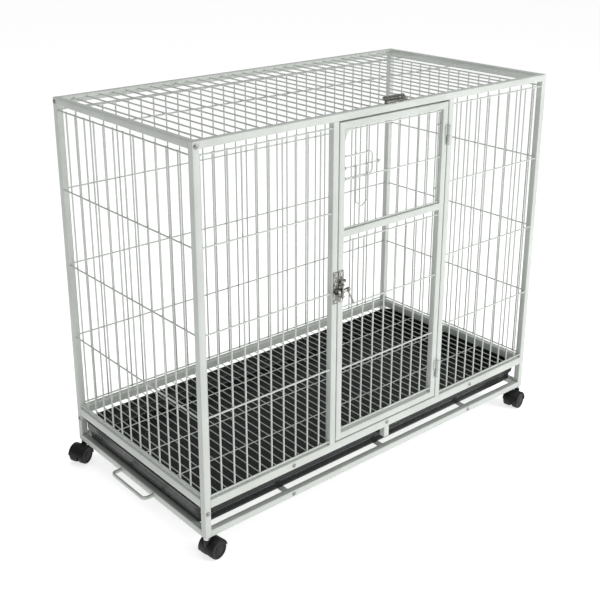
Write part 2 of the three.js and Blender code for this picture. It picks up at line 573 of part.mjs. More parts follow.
// ---------------------------------------------------------------- hasp on the front top rail
const HASP_LENGTH = 69;
const HASP_FLAP = 12;
const HASP_TILT = 45; // degrees that the flap leans back from upright
const HASP_KNUCKLE = 2.6;
const HASP_SPLIT = 16; // length of the leaf's knuckle at each end
const HASP_PIN = 1.1;
const HASP_OFFSET = 5; // to the right of the middle of the door
const HASP_SETBACK = 0.5; // leaf behind the front face of the rail
const HASP_AXIS = 9; // pin behind the front face of the rail
const HASP_X = doorMiddle + HASP_OFFSET;
const HASP_Y = FRONT + HASP_AXIS;
const HASP_Z = TOP + GAP + HASP_KNUCKLE;
const haspKnuckle = (x0, x1) => rod([x0, HASP_Y, HASP_Z], [x1, HASP_Y, HASP_Z], HASP_KNUCKLE, 12);
function haspLeaf() {
  const half = HASP_LENGTH / 2;
  const plateZ = [TOP + GAP, TOP + GAP + PLATE];
  const plate = block(span(HASP_X, HASP_LENGTH), [FRONT + HASP_SETBACK, HASP_Y], plateZ);
  const ends = [-1, 1].map((side) => {
    const x = [HASP_X + side * half, HASP_X + side * (half - HASP_SPLIT)].sort((a, b) => a - b);
    return haspKnuckle(...x);
  });
  const notch = span(HASP_X, HASP_LENGTH - 2 * HASP_SPLIT + 2 * GAP);
  const relief = block(notch, [HASP_Y - HASP_KNUCKLE - GAP, HASP_Y + 9], [TOP, TOP + 9]);
  const pin = rod([HASP_X - half + 1, HASP_Y, HASP_Z], [HASP_X + half - 1, HASP_Y, HASP_Z], HASP_PIN, 8);
  return plate.subtract(relief).add(join([...ends, pin]));
}
add("hasp_leaf", haspLeaf(), nickel());

function haspFlap() {
  const half = HASP_LENGTH / 2;
  const knuckle = haspKnuckle(HASP_X - half + HASP_SPLIT + GAP, HASP_X + half - HASP_SPLIT - GAP);
  const flap = new THREE.BoxGeometry(HASP_LENGTH, PLATE, HASP_FLAP);
  flap.translate(0, 0, HASP_KNUCKLE + GAP + HASP_FLAP / 2);
  const neck = new THREE.BoxGeometry(HASP_LENGTH - 2 * HASP_SPLIT - 2, PLATE - 0.2, HASP_KNUCKLE + 3);
  neck.translate(0, 0, (HASP_KNUCKLE + 3) / 2);
  const plates = [flap, neck].map((geometry) => {
    geometry.rotateX(-THREE.MathUtils.degToRad(HASP_TILT));
    geometry.translate(HASP_X, HASP_Y, HASP_Z);
    return solid(geometry);
  });
  const onPin = (x) => [HASP_X + x, HASP_Y, HASP_Z];
  const bore = rod(onPin(-half - 1), onPin(half + 1), HASP_PIN + RUN / 2, 8);
  return join([knuckle, ...plates]).subtract(bore);
}
add("hasp_flap", haspFlap(), nickel());

// ---------------------------------------------------------------- casters
// Each is built about its swivel axis with the axle behind it along +X, then turned and set under its post.
const HOOD_TOP = FOOT - 4;
const HOOD_ARC = [8, 190]; // degrees of the hood round the axle, from the level behind it
const COLLAR_RADIUS = 6.5;
const PLUG = [1, 24]; // foot and head of the plug above the foot of the post
function casterStem() {
  const plugSide = TUBE - 2 * WALL - 2 * GAP;
  const pin = rod([0, 0, HOOD_TOP - 10], [0, 0, FOOT + 4], STEM_RADIUS);
  const collar = rod([0, 0, HOOD_TOP + GAP], [0, 0, FOOT - GAP], COLLAR_RADIUS);
  const plug = block(span(0, plugSide), span(0, plugSide), [FOOT + PLUG[0], FOOT + PLUG[1]]);
  return { pin, collar, plug };
}

function hoodOutline() {
  const inner = WHEEL_RADIUS + HOOD_AIR;
  const outer = inner + HOOD_WALL;
  const [from, to] = HOOD_ARC.map(THREE.MathUtils.degToRad);
  const outline = new THREE.Shape();
  outline.absarc(0, 0, outer, from, to, false);
  outline.absarc(0, 0, inner, to, from, true);
  return outline;
}

function casterHousing() {
  const outer = WHEEL_RADIUS + HOOD_AIR + HOOD_WALL;
  const width = CASTER_WEB + 2 * WHEEL_WIDTH + 2;
  const settings = { depth: width, bevelEnabled: false, curveSegments: 12 };
  const hood = new THREE.ExtrudeGeometry(hoodOutline(), settings);
  hood.rotateX(Math.PI / 2);
  hood.translate(CASTER_TRAIL, width / 2, WHEEL_RADIUS);
  const webHalf = CASTER_WEB / 2 - RUN;
  const onAxle = (y) => [CASTER_TRAIL, y, WHEEL_RADIUS];
  const web = rod(onAxle(-webHalf), onAxle(webHalf), outer - 0.8, 24);
  const keep = block([-40, 80], [-webHalf, webHalf], [WHEEL_RADIUS - 8, FOOT]);
  const arm = block([-BOSS_RADIUS + 1, CASTER_TRAIL], [-webHalf, webHalf], [WHEEL_RADIUS + 6, HOOD_TOP - 4]);
  const boss = rod([0, 0, HOOD_TOP - BOSS_HEIGHT], [0, 0, HOOD_TOP], BOSS_RADIUS);
  const bore = rod([0, 0, HOOD_TOP - 11], [0, 0, HOOD_TOP + 1], STEM_RADIUS + RUN / 2);
  const axleHole = rod(onAxle(-width), onAxle(width), AXLE_RADIUS + RUN / 2);
  return join([solid(hood), web.intersect(keep), arm, boss]).subtract(bore).subtract(axleHole);
}

function casterWheels() {
  const reach = CASTER_WEB / 2 + WHEEL_WIDTH;
  const at = (y) => [CASTER_TRAIL, y, WHEEL_RADIUS];
  const wheels = [-1, 1].map((side) => rod(at((side * CASTER_WEB) / 2), at(side * reach), WHEEL_RADIUS, 24));
  return join([...wheels, rod(at(-reach + 1), at(reach - 1), AXLE_RADIUS)]);
}

for (const [name, x, y] of corners) {
  const { pin, collar, plug } = casterStem();
  const place = (mesh, turned) => {
    mesh.position.set((x[0] + x[1]) / 2, (y[0] + y[1]) / 2, 0);
    if (turned) mesh.rotation.z = THREE.MathUtils.degToRad(CASTER_TURN[name]);
  };
  place(add("caster_" + name + "_stem", join([pin, collar, plug]), bright()), false);
  place(add("caster_" + name + "_housing", casterHousing(), blackPlastic()), true);
  place(add("caster_" + name + "_wheels", casterWheels(), blackRubber()), true);
}

export default cage;
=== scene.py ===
import json
import math
import random

import bpy
from mathutils import Matrix, Vector


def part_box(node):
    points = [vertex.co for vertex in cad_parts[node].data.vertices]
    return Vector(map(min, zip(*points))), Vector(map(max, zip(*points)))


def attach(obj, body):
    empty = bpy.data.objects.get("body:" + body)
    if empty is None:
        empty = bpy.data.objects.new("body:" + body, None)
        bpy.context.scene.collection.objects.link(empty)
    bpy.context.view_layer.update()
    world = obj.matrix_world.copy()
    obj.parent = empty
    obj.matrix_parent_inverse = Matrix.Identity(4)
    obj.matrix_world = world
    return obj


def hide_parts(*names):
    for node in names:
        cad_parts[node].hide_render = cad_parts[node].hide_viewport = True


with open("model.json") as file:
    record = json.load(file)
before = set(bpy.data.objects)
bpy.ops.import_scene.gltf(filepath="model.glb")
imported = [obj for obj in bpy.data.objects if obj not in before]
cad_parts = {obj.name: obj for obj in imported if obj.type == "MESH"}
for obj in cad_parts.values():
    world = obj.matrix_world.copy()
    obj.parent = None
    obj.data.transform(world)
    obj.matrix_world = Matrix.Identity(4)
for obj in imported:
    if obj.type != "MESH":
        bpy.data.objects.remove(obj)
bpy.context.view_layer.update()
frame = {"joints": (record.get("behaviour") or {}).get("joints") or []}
JOINTS = {joint["name"]: joint for joint in frame["joints"]}

# A wire rabbit cage on casters: powder-coated square tube, welded wire panels, a black tray under the floor,
# a front door with a wire feed door in it, and hooded twin-wheel casters. Metres, +Z up, front towards -Y.

MM = 0.001
WIRE = 3.2 * MM
COATED_WIRE = 3.9 * MM  # the same wire in a panel, with its thick coat of paint
FLOOR_WIRE = 2.6 * MM
WELD_SINK = 0.35 * MM  # how far crossing wires sink into each other
TUBE_CORNER = 1.5 * MM
TUBE_WALL = 1.2 * MM
TUBE_LIP = 0.3 * MM  # chamfer at a tube's end
BORE_DEPTH = 40 * MM  # how far the bore of an open tube is modelled
WELD_OVERLAP = 0.2 * MM  # how far a welded end reaches past the seam into its neighbour
SEAM = 0.3 * MM  # gap that the CAD leaves between neighbouring pieces
X = Vector((1, 0, 0))
Y = Vector((0, 1, 0))
Z = Vector((0, 0, 1))
AXES = (X, Y, Z)
rng = random.Random(7)


# ---------------------------------------------------------------- mesh building
def circle(radius, sides):
    angles = [math.tau * i / sides for i in range(sides)]
    return [(radius * math.cos(angle), radius * math.sin(angle)) for angle in angles]


def rounded_rect(width, height, radius, steps=4):
    """Points round a rectangle with round corners, anticlockwise, centred on the origin."""
    points = []
    for quarter, (sx, sy) in enumerate(((1, 1), (-1, 1), (-1, -1), (1, -1))):
        cx = sx * (width / 2 - radius)
        cy = sy * (height / 2 - radius)
        for i in range(steps + 1):
            angle = math.pi / 2 * (quarter + i / steps)
            points.append((cx + radius * math.cos(angle), cy + radius * math.sin(angle)))
    return points


def place(section, centre, across, up):
    return [centre + across * a + up * b for a, b in section]


def shrunk(section, amount):
    """The section with every point pulled towards its middle by about the amount."""
    reach = max(max(abs(a), abs(b)) for a, b in section)
    share = 1 - amount / reach
    return [(a * share, b * share) for a, b in section]


def filleted(corners, radius, steps=6, closed=False):
    """The polyline with each inner corner replaced by an arc."""
    corners = [Vector(c) for c in corners]
    count = len(corners)
    path = [] if closed else [corners[0]]
    for i in range(0 if closed else 1, count if closed else count - 1):
        here = corners[i]
        back = (corners[i - 1] - here).normalized()
        on = (corners[(i + 1) % count] - here).normalized()
        half = back.angle(on) / 2
        reach = radius / math.tan(half)
        centre = here + (back + on).normalized() * radius / math.sin(half)
        start = (here + back * reach - centre).normalized()
        end = (here + on * reach - centre).normalized()
        for k in range(steps + 1):
            path.append(centre + start.slerp(end, k / steps) * radius)
    if not closed:
        path.append(corners[-1])
    return path


class Shape:
    """The points and faces of one piece, gathered from simple closed forms."""

    def __init__(self):
        self.points = []
        self.faces = []

    def add(self, points, faces):
        start = len(self.points)
        self.points.extend(points)
        self.faces.extend(tuple(start + i for i in face) for face in faces)

    def loft(self, rings, closed=False):
        """Joins rings of equal count. Open lofts get flat ends."""
        count = len(rings[0])
        points = [point for ring in rings for point in ring]
        faces = []
        for r in range(len(rings) if closed else len(rings) - 1):
            low = r * count
            high = (r + 1) % len(rings) * count
            for i in range(count):
                j = (i + 1) % count
                faces.append((low + i, low + j, high + j, high + i))
        if not closed:
            faces.append(tuple(reversed(range(count))))
            faces.append(tuple(range((len(rings) - 1) * count, len(rings) * count)))
        self.add(points, faces)

    def sweep(self, path, section, up, ends=0.0):
        """Carries a section along a path that turns about "up", with its ends chamfered."""
        path = [Vector(p) for p in path]
        rings = []
        for i, point in enumerate(path):
            before = path[max(i - 1, 0)]
            after = path[min(i + 1, len(path) - 1)]
            along = (after - before).normalized()
            across = up.cross(along).normalized()
            stretch = 1.0
            if 0 < i < len(path) - 1:
                stretch = 1 / max(0.5, math.cos((point - before).angle(after - point) / 2))
            rings.append(place([(a * stretch, b) for a, b in section], point, across, along.cross(across)))
            if ends and i in (0, len(path) - 1):
                inward = along * ends * (1 if i == 0 else -1)
                small = place(shrunk(section, ends), point, across, along.cross(across))
                rings[-1] = [p + inward for p in rings[-1]]
                rings.insert(len(rings) - 1 if i == 0 else len(rings), small)
        self.loft(rings)

    def rod(self, start, end, radius, sides=10, chamfer=0.3 * MM):
        start = Vector(start)
        end = Vector(end)
        up = Z if abs((end - start).normalized().z) < 0.9 else Y
        self.sweep([start, end], circle(radius, sides), up, chamfer)

    def block(self, low, high, chamfer=0.3 * MM):
        """A box with chamfered edges."""
        low = Vector(low)
        high = Vector(high)
        size = high - low
        middle = (low + high) / 2
        section = rounded_rect(size.x, size.y, chamfer, 1)
        small = rounded_rect(size.x - 2 * chamfer, size.y - 2 * chamfer, chamfer / 2, 1)
        levels = ((small, low.z), (section, low.z + chamfer), (section, high.z - chamfer), (small, high.z))
        self.loft([place(s, Vector((middle.x, middle.y, z)), X, Y) for s, z in levels])

    def lathe(self, profile, centre, axis, sides=32):
        """Turns (radius, distance along axis) points about the axis. Ends on it are closed to a point."""
        axis = Vector(axis).normalized()
        across = (Z if abs(axis.z) < 0.9 else X).cross(axis).normalized()
        up = axis.cross(across)
        centre = Vector(centre)
        tiny = 0.01 * MM
        self.loft([place(circle(max(r, tiny), sides), centre + axis * d, across, up) for r, d in profile])

    def blob(self, centre, radii, rings=5, sides=8):
        """A small ellipsoid, such as a weld nugget, with its axes along X, Y and Z."""
        levels = []
        for i in range(rings):
            angle = math.pi * (i + 0.5) / rings - math.pi / 2
            wide = radii[0] * math.cos(angle)
            deep = radii[1] * math.cos(angle)
            section = [(a * wide, b * deep) for a, b in circle(1, sides)]
            levels.append(place(section, Vector(centre) + Z * radii[2] * math.sin(angle), X, Y))
        self.loft(levels)

    def bead(self, start, end, radius):
        """An uneven weld bead: overlapping drops along a straight joint."""
        start = Vector(start)
        end = Vector(end)
        count = max(2, round((end - start).length / (radius * 1.3)))
        for i in range(count):
            size = radius * rng.uniform(0.85, 1.2)
            self.blob(start.lerp(end, (i + 0.5) / count), (size, size, size), 4, 6)

    def turned(self, angle, centre):
        """Turns everything so far about the vertical and moves it from the origin to a point."""
        matrix = Matrix.Translation(centre) @ Matrix.Rotation(angle, 4, "Z")
        self.points = [matrix @ Vector(p) for p in self.points]
        return self


SMOOTH_ANGLE = math.radians(38)


def piece(shape, name, body, material, replaces=()):
    """Makes the object of a shape, rides it on its body and gives it its finish."""
    mesh = bpy.data.meshes.new(name)
    mesh.from_pydata([tuple(p) for p in shape.points], [], shape.faces)
    mesh.validate()
    mesh.polygons.foreach_set("use_smooth", [True] * len(mesh.polygons))
    mesh.set_sharp_from_angle(angle=SMOOTH_ANGLE)
    mesh.materials.append(material)
    made = bpy.data.objects.new(name, mesh)
    bpy.context.scene.collection.objects.link(made)
    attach(made, body)
    if replaces:
        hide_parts(*replaces)
    return made


# ---------------------------------------------------------------- materials
class Nodes:
    """A new material with its shader, and short ways to add nodes to it."""

    def __init__(self, name):
        self.material = bpy.data.materials.new(name)
        self.material.use_nodes = True
        self.tree = self.material.node_tree
        self.shader = self.tree.nodes["Principled BSDF"]
        self.place = self.tree.nodes.new("ShaderNodeTexCoord").outputs["Object"]

    def link(self, output, node, socket):
        self.tree.links.new(output, node.inputs[socket])

    def noise(self, scale, detail=3.0, roughness=0.55, stretch=None):
        where = self.place
        if stretch:
            mapping = self.tree.nodes.new("ShaderNodeMapping")
            mapping.inputs["Scale"].default_value = stretch
            self.link(where, mapping, "Vector")
            where = mapping.outputs["Vector"]
        node = self.tree.nodes.new("ShaderNodeTexNoise")
        node.inputs["Scale"].default_value = scale
        node.inputs["Detail"].default_value = detail
        node.inputs["Roughness"].default_value = roughness
        self.link(where, node, "Vector")
        return node.outputs["Fac"]

    def spots(self, scale):
        node = self.tree.nodes.new("ShaderNodeTexVoronoi")
        node.inputs["Scale"].default_value = scale
        self.link(self.place, node, "Vector")
        return node.outputs["Distance"]

    def ramp(self, value, stops):
        """Maps 0 to 1 through (place, colour or grey) stops."""
        node = self.tree.nodes.new("ShaderNodeValToRGB")
        elements = node.color_ramp.elements
        while len(elements) < len(stops):
            elements.new(0.5)
        for element, (at, colour) in zip(elements, stops):
            element.position = at
            element.color = (*colour, 1) if isinstance(colour, tuple) else (colour, colour, colour, 1)
        self.link(value, node, "Fac")
        return node.outputs["Color"]

    def mix(self, factor, first, second):
        node = self.tree.nodes.new("ShaderNodeMix")
        node.data_type = "RGBA"
        self.link(factor, node, 0)
        self.link(first, node, 6)
        self.link(second, node, 7)
        return node.outputs[2]

    def add(self, first, second, share):
        """first + second * share"""
        node = self.tree.nodes.new("ShaderNodeMath")
        node.operation = "MULTIPLY_ADD"
        self.link(second, node, 0)
        node.inputs[1].default_value = share
        self.link(first, node, 2)
        return node.outputs[0]

    def bump(self, height, strength, distance):
        node = self.tree.nodes.new("ShaderNodeBump")
        node.inputs["Strength"].default_value = strength
        node.inputs["Distance"].default_value = distance
        self.link(height, node, "Height")
        self.link(node.outputs["Normal"], self.shader, "Normal")

    def set(self, **values):
        for socket, value in values.items():
            self.shader.inputs[socket.replace("_", " ")].default_value = value


PAINT_LIGHT = (0.6, 0.632, 0.597)
PAINT_DULL = (0.535, 0.563, 0.53)


def powder_coat(name, grain):
    """Pale grey-green powder coat: orange peel, faint uneven film and patchy roughness."""
    n = Nodes(name)
    film = n.noise(9, 4)
    n.link(n.ramp(film, [(0.3, PAINT_DULL), (0.62, PAINT_LIGHT)]), n.shader, "Base Color")
    rough = n.noise(60, 3)
    n.link(n.ramp(rough, [(0.3, 0.36), (0.7, 0.5)]), n.shader, "Roughness")
    peel = n.add(n.noise(grain, 2), n.spots(grain * 0.7), 0.35)
    n.bump(peel, 0.22, 0.12 * MM)
    n.set(Specular_IOR_Level=0.45)
    return n.material


def dull_nickel(name):
    """Nickel plate gone dull and yellowish, with finer scratches along the part."""
    n = Nodes(name)
    patches = n.noise(160, 5, 0.65)
    colours = [(0.36, (0.085, 0.086, 0.075)), (0.5, (0.24, 0.242, 0.222)), (0.68, (0.48, 0.482, 0.45))]
    n.link(n.ramp(patches, colours), n.shader, "Base Color")
    n.link(n.ramp(n.noise(420, 4), [(0.3, 0.26), (0.7, 0.52)]), n.shader, "Roughness")
    n.bump(n.noise(900, 3, stretch=(1, 1, 0.15)), 0.25, 0.06 * MM)
    n.set(Metallic=0.92)
    return n.material


def zinc_plate(name, dark, pale, rough):
    n = Nodes(name)
    colours = [(0.3, (dark, dark, dark * 0.98)), (0.7, (pale, pale, pale * 0.98))]
    n.link(n.ramp(n.noise(260, 4), colours), n.shader, "Base Color")
    n.link(n.ramp(n.noise(500, 3), [(0.3, rough), (0.7, rough + 0.18)]), n.shader, "Roughness")
    n.bump(n.noise(1500, 2), 0.12, 0.04 * MM)
    n.set(Metallic=1.0)
    return n.material


def black_plastic(name, dark, pale, rough, grain):
    """Moulded black plastic with a fine grain and a trace of dust."""
    n = Nodes(name)
    dust = n.ramp(n.noise(22, 6, 0.7), [(0.42, 0.0), (0.8, 1.0)])
    base = n.ramp(n.noise(70, 3), [(0.3, dark), (0.7, tuple(c * 1.25 for c in dark))])
    pale_layer = n.ramp(n.noise(300, 2), [(0.0, pale), (1.0, pale)])
    n.link(n.mix(dust, base, pale_layer), n.shader, "Base Color")
    n.link(n.ramp(n.noise(90, 4), [(0.3, rough), (0.75, rough + 0.16)]), n.shader, "Roughness")
    n.bump(n.noise(grain, 2), 0.3, 0.07 * MM)
    n.set(Specular_IOR_Level=0.32)
    return n.material


TUBE_PAINT = powder_coat("tube_paint", 620)
WIRE_PAINT = powder_coat("wire_paint", 900)
NICKEL = dull_nickel("nickel")
ZINC = zinc_plate("zinc", 0.5, 0.78, 0.2)
SCREW = zinc_plate("screw_plate", 0.22, 0.42, 0.3)
RIVET = zinc_plate("rivet_plate", 0.55, 0.72, 0.34)
TRAY_PLASTIC = black_plastic("tray_plastic", (0.008, 0.009, 0.0095), (0.012, 0.013, 0.013), 0.22, 900)
HOOD_PLASTIC = black_plastic("hood_plastic", (0.006, 0.006, 0.006), (0.012, 0.012, 0.012), 0.38, 1800)
WHEEL_PLASTIC = black_plastic("wheel_plastic", (0.006, 0.006, 0.006), (0.022, 0.021, 0.019), 0.46, 1200)


# ---------------------------------------------------------------- square tube
def add_tube(shape, low, high, axis, open_ends=(False, False), extend=(0.0, 0.0)):
    """A round-cornered square tube filling a box. Open ends show the wall and the bore."""
    low = Vector(low)
    high = Vector(high)
    start = low[axis] - extend[0]
    end = high[axis] + extend[1]
    first, second = [i for i in range(3) if i != axis]
    size = high - low
    middle = (low + high) / 2
    outer = rounded_rect(size[first], size[second], TUBE_CORNER)
    lip = shrunk(outer, TUBE_LIP)
    bore_corner = TUBE_CORNER - TUBE_WALL * 0.7
    bore = rounded_rect(size[first] - 2 * TUBE_WALL, size[second] - 2 * TUBE_WALL, bore_corner)

    def ring(section, at):
        centre = middle.copy()
        centre[axis] = at
        return place(section, centre, AXES[first], AXES[second])

    rings = [ring(lip, start), ring(outer, start + TUBE_LIP), ring(outer, end - TUBE_LIP), ring(lip, end)]
    mouth = 0.2 * MM
    if open_ends[0]:
        rings = [ring(bore, start + BORE_DEPTH), ring(bore, start + mouth)] + rings
    if open_ends[1]:
        rings = rings + [ring(bore, end - mouth), ring(bore, end - BORE_DEPTH)]
    if axis == 1:
        rings = [list(reversed(r)) for r in rings]
    shape.loft(rings)


def long_axis(low, high):
    size = high - low
    return max(range(3), key=lambda i: size[i])


def tube_piece(node, body="frame", open_ends=(False, False), extend=(0.0, 0.0)):
    low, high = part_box(node)
    shape = Shape()
    add_tube(shape, low, high, long_axis(low, high), open_ends, extend)
    return piece(shape, node + "_tube", body, TUBE_PAINT, [node])


CORNERS = ("front_left", "front_right", "back_left", "back_right")
LEVELS = ("top_rail", "floor_rail", "lower_rail")
# Each side of the frame is welded to one post and screwed to the next: (side, end that is screwed).
SCREWED_END = {"front": 1, "left": 0, "back": 0, "right": 1}

for corner in CORNERS:
    tube_piece("post_" + corner, open_ends=(True, False))
for level in LEVELS:
    for side, screwed in SCREWED_END.items():
        welded = [SEAM + WELD_OVERLAP, SEAM + WELD_OVERLAP]
        welded[screwed] = SEAM * 0.3
        tube_piece(level + "_" + side, extend=tuple(welded))
for side in ("left", "right"):
    tube_piece("door_post_" + side, extend=(SEAM + WELD_OVERLAP, SEAM + WELD_OVERLAP))
tube_piece("tray_stop", open_ends=(True, False), extend=(0, SEAM + WELD_OVERLAP))

POST_LOW, POST_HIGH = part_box("post_front_left")
FAR_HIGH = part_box("post_back_right")[1]
LEFT, FRONT = POST_LOW.x, POST_LOW.y
RIGHT, BACK = FAR_HIGH.x, FAR_HIGH.y
TUBE = POST_HIGH.x - POST_LOW.x
FOOT, TOP = POST_LOW.z, POST_HIGH.z


def frame_welds():
    """Beads where the welded rail ends meet the posts, and at both ends of the door posts."""
    shape = Shape()
    radius = 1.1 * MM
    inset = 1.6 * MM
    for level in LEVELS:
        for side, screwed in SCREWED_END.items():
            low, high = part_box(level + "_" + side)
            axis = long_axis(low, high)
            at = (low if screwed == 1 else high)[axis] + (-SEAM if screwed == 1 else SEAM)
            across = 1 - axis
            inner = (high if side in ("front", "left") else low)[across]
            for z in (low.z, high.z):
                start = Vector((0, 0, z))
                start[axis] = at
                end = start.copy()
                start[across] = low[across] + inset
                end[across] = high[across] - inset
                if abs(z - TOP) > inset and abs(z - FOOT) > inset:
                    shape.bead(start, end, radius)
            start = Vector((0, 0, low.z + inset))
            start[axis] = at
            start[across] = inner
            shape.bead(start, start + Z * (high.z - low.z - 2 * inset), radius)
    for side in ("left", "right"):
        low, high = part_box("door_post_" + side)
        for z in (low.z - SEAM, high.z + SEAM):
            for x in (low.x, high.x):
                shape.bead((x, low.y + inset, z), (x, high.y - inset, z), radius)
            shape.bead((low.x + inset, high.y, z), (high.x - inset, high.y, z), radius)
    piece(shape, "frame_welds", "frame", TUBE_PAINT)


frame_welds()


# ---------------------------------------------------------------- welded wire
def stepped(first, pitch, end):
    places = []
    at = first
    while at < end - WIRE * 2:
        places.append(at)
        at += pitch
    return places


def evenly(low, high, cells):
    return [low + (i + 1) * (high - low) / cells for i in range(cells - 1)]


def spread(low, high, count):
    return [low + i * (high - low) / (count - 1) for i in range(count)]


def add_wire_grid(shape, wire, uprights, span, levels, reach, depths, axes, hidden_ends=SEAM):
    """Round wires in two layers, sunk into each other and nugget-welded where they cross.

    "uprights" run along the third of the axes at places on the first, and "levels" along the first at places
    on the third. "depths" are the places of the level layer and the upright layer on the second."""
    along, inward, up = axes
    level_depth, upright_depth = depths
    radius = wire / 2

    def at(u, depth, v):
        return along * u + inward * depth + up * v

    for u in uprights:
        lean = rng.gauss(0, 0.12 * MM)
        start = at(u + lean, upright_depth, span[0])
        end = at(u - lean, upright_depth, span[1])
        middle = (start + end) / 2 + along * rng.gauss(0, 0.15 * MM)
        shape.sweep([start, middle, end], circle(radius, 10), inward, 0.35 * MM)
    for v in levels:
        start = at(reach[0] - hidden_ends, level_depth, v)
        end = at(reach[1] + hidden_ends, level_depth, v)
        shape.sweep([start, end], circle(radius, 10), inward, 0.2 * MM)
        for end_u in reach:
            shape.blob(at(end_u, level_depth, v), [radius * rng.uniform(1.3, 1.6)] * 3)
        for u in uprights:
            size = radius * rng.uniform(1.02, 1.18)
            shape.blob(at(u, (level_depth + upright_depth) / 2, v), (size, size, size))


def wall(node, body, uprights, axis, outward, count):
    """One wire panel standing upright: axis 0 lies along X and axis 1 along Y."""
    low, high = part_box(node)
    side = 1 - axis
    inward = -outward
    face = (low if outward < 0 else high)[side] + inward * WIRE / 2
    depths = (face, face + inward * (WIRE - WELD_SINK))
    levels = spread(low.z + WIRE / 2, high.z - WIRE / 2, count)
    reach = (low[axis], high[axis])
    axes = (AXES[axis], AXES[side], Z)
    shape = Shape()
    add_wire_grid(shape, COATED_WIRE, uprights, (low.z, high.z), levels, reach, depths, axes)
    return piece(shape, node + "_wires", body, WIRE_PAINT, [node])


PITCH = 34.4 * MM
LEFT_END_PITCH = 40 * MM
RIGHT_END_PITCH = 35 * MM
NEAR_POST = WIRE * 1.2
WALL_LEVELS = 5
DOOR_LEVELS = 4
DOOR_CELLS = 9
low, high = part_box("wall_front_left")
places = [low.x + NEAR_POST, *stepped(low.x + PITCH, PITCH, high.x)]
wall("wall_front_left", "frame", places, 0, -1, WALL_LEVELS)
low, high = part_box("wall_front_right")
wall("wall_front_right", "frame", stepped(low.x + PITCH, PITCH, high.x), 0, -1, WALL_LEVELS)
low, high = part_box("wall_back")
wall("wall_back", "frame", evenly(low.x, high.x, round((high.x - low.x) / PITCH)), 0, 1, WALL_LEVELS)
low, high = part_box("wall_left")
wall("wall_left", "frame", stepped(low.y + NEAR_POST, LEFT_END_PITCH, high.y), 1, -1, WALL_LEVELS)
first = low.y + RIGHT_END_PITCH / 2
wall("wall_right", "frame", stepped(first, RIGHT_END_PITCH, high.y), 1, 1, WALL_LEVELS)
low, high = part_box("door_lower_mesh")
wall("door_lower_mesh", "door", evenly(low.x, high.x, DOOR_CELLS), 0, -1, DOOR_LEVELS)


ROOF_FIRST_CELL = 0.83  # share of a cell between the left rail and the first roof wire
ROOF_LEVELS = (-5 * MM, 174 * MM)
FLOOR_PITCH = 23.2 * MM
FLOOR_LEVEL = 127 * MM  # the floor's long wires stand this far either side of the middle one
FLOOR_EDGE = 2.5 * MM


def roof():
    low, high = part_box("roof_grid")
    shape = Shape()
    places = stepped(low.x + PITCH * ROOF_FIRST_CELL, PITCH, high.x)
    depths = (high.z - WIRE * 1.5 + WELD_SINK, high.z - WIRE / 2)
    axes = (X, Z, Y)
    span = (low.y - SEAM, high.y + SEAM)
    add_wire_grid(shape, COATED_WIRE, places, span, ROOF_LEVELS, (low.x, high.x), depths, axes)
    for x in places:
        for y in (low.y, high.y):
            shape.blob((x, y, depths[1]), [WIRE * rng.uniform(0.62, 0.78)] * 3)
    piece(shape, "roof_wires", "frame", WIRE_PAINT, ["roof_grid"])


def floor_grid():
    low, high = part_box("floor_grid")
    shape = Shape()
    places = evenly(low.x, high.x, round((high.x - low.x) / FLOOR_PITCH))
    depths = (high.z - FLOOR_WIRE / 2, high.z - FLOOR_WIRE * 1.5 + WELD_SINK)
    levels = (low.y + FLOOR_EDGE, -FLOOR_LEVEL, 0, FLOOR_LEVEL, high.y - FLOOR_EDGE)
    axes = (X, Z, Y)
    span = (low.y - SEAM, high.y + SEAM)
    add_wire_grid(shape, FLOOR_WIRE, places, span, levels, (low.x, high.x), depths, axes)
    piece(shape, "floor_wires", "frame", WIRE_PAINT, ["floor_grid"])


roof()
floor_grid()


# ---------------------------------------------------------------- under the floor
def tray():
    """A deep tray with a wide upright band round its rim over a narrower base, swept round its outline."""
    low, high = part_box("tray")
    shape = Shape()
    middle = (low + high) / 2
    profile = (  # millimetres in from the rim and up from the underside, from the outside of the base round
        (60, 0), (13, 0), (9.8, 0.8), (8.2, 3.2), (7.4, 7), (6.9, 18), (6.6, 20.6), (5.6, 22.2), (5, 23),
        (4.6, 24.4), (2.6, 25.2), (1.4, 26.6), (1, 29), (0.8, 38), (0.6, 43.2), (0, 44.4), (0, 47.8),
        (0.5, 48.7), (1.2, 49), (2.2, 48.8), (2.7, 48), (3.2, 44), (3.6, 31), (4.4, 28.4), (6.4, 27.2),
        (8.2, 26), (9.2, 23.6), (9.9, 6.4), (11.6, 3.7), (15.4, 2.6), (30, 2.5), (33, 3.6), (44, 3.6),
        (47, 2.5), (60, 2.5),
    )
    rings = []
    for inset, height in profile:
        inset *= MM
        corner = max(26 * MM - inset * 0.55, 4 * MM)
        section = rounded_rect(high.x - low.x - 2 * inset, high.y - low.y - 2 * inset, corner, 8)
        rings.append(place(section, Vector((middle.x, middle.y, low.z + height * MM)), X, Y))
    shape.loft(rings)
    piece(shape, "tray_moulding", "tray", TRAY_PLASTIC, ["tray"])


BAR_WIDTH = 16 * MM
LONG_BARS = (-70 * MM, 70 * MM)
CROSS_BARS = (-305 * MM, 0, 305 * MM)


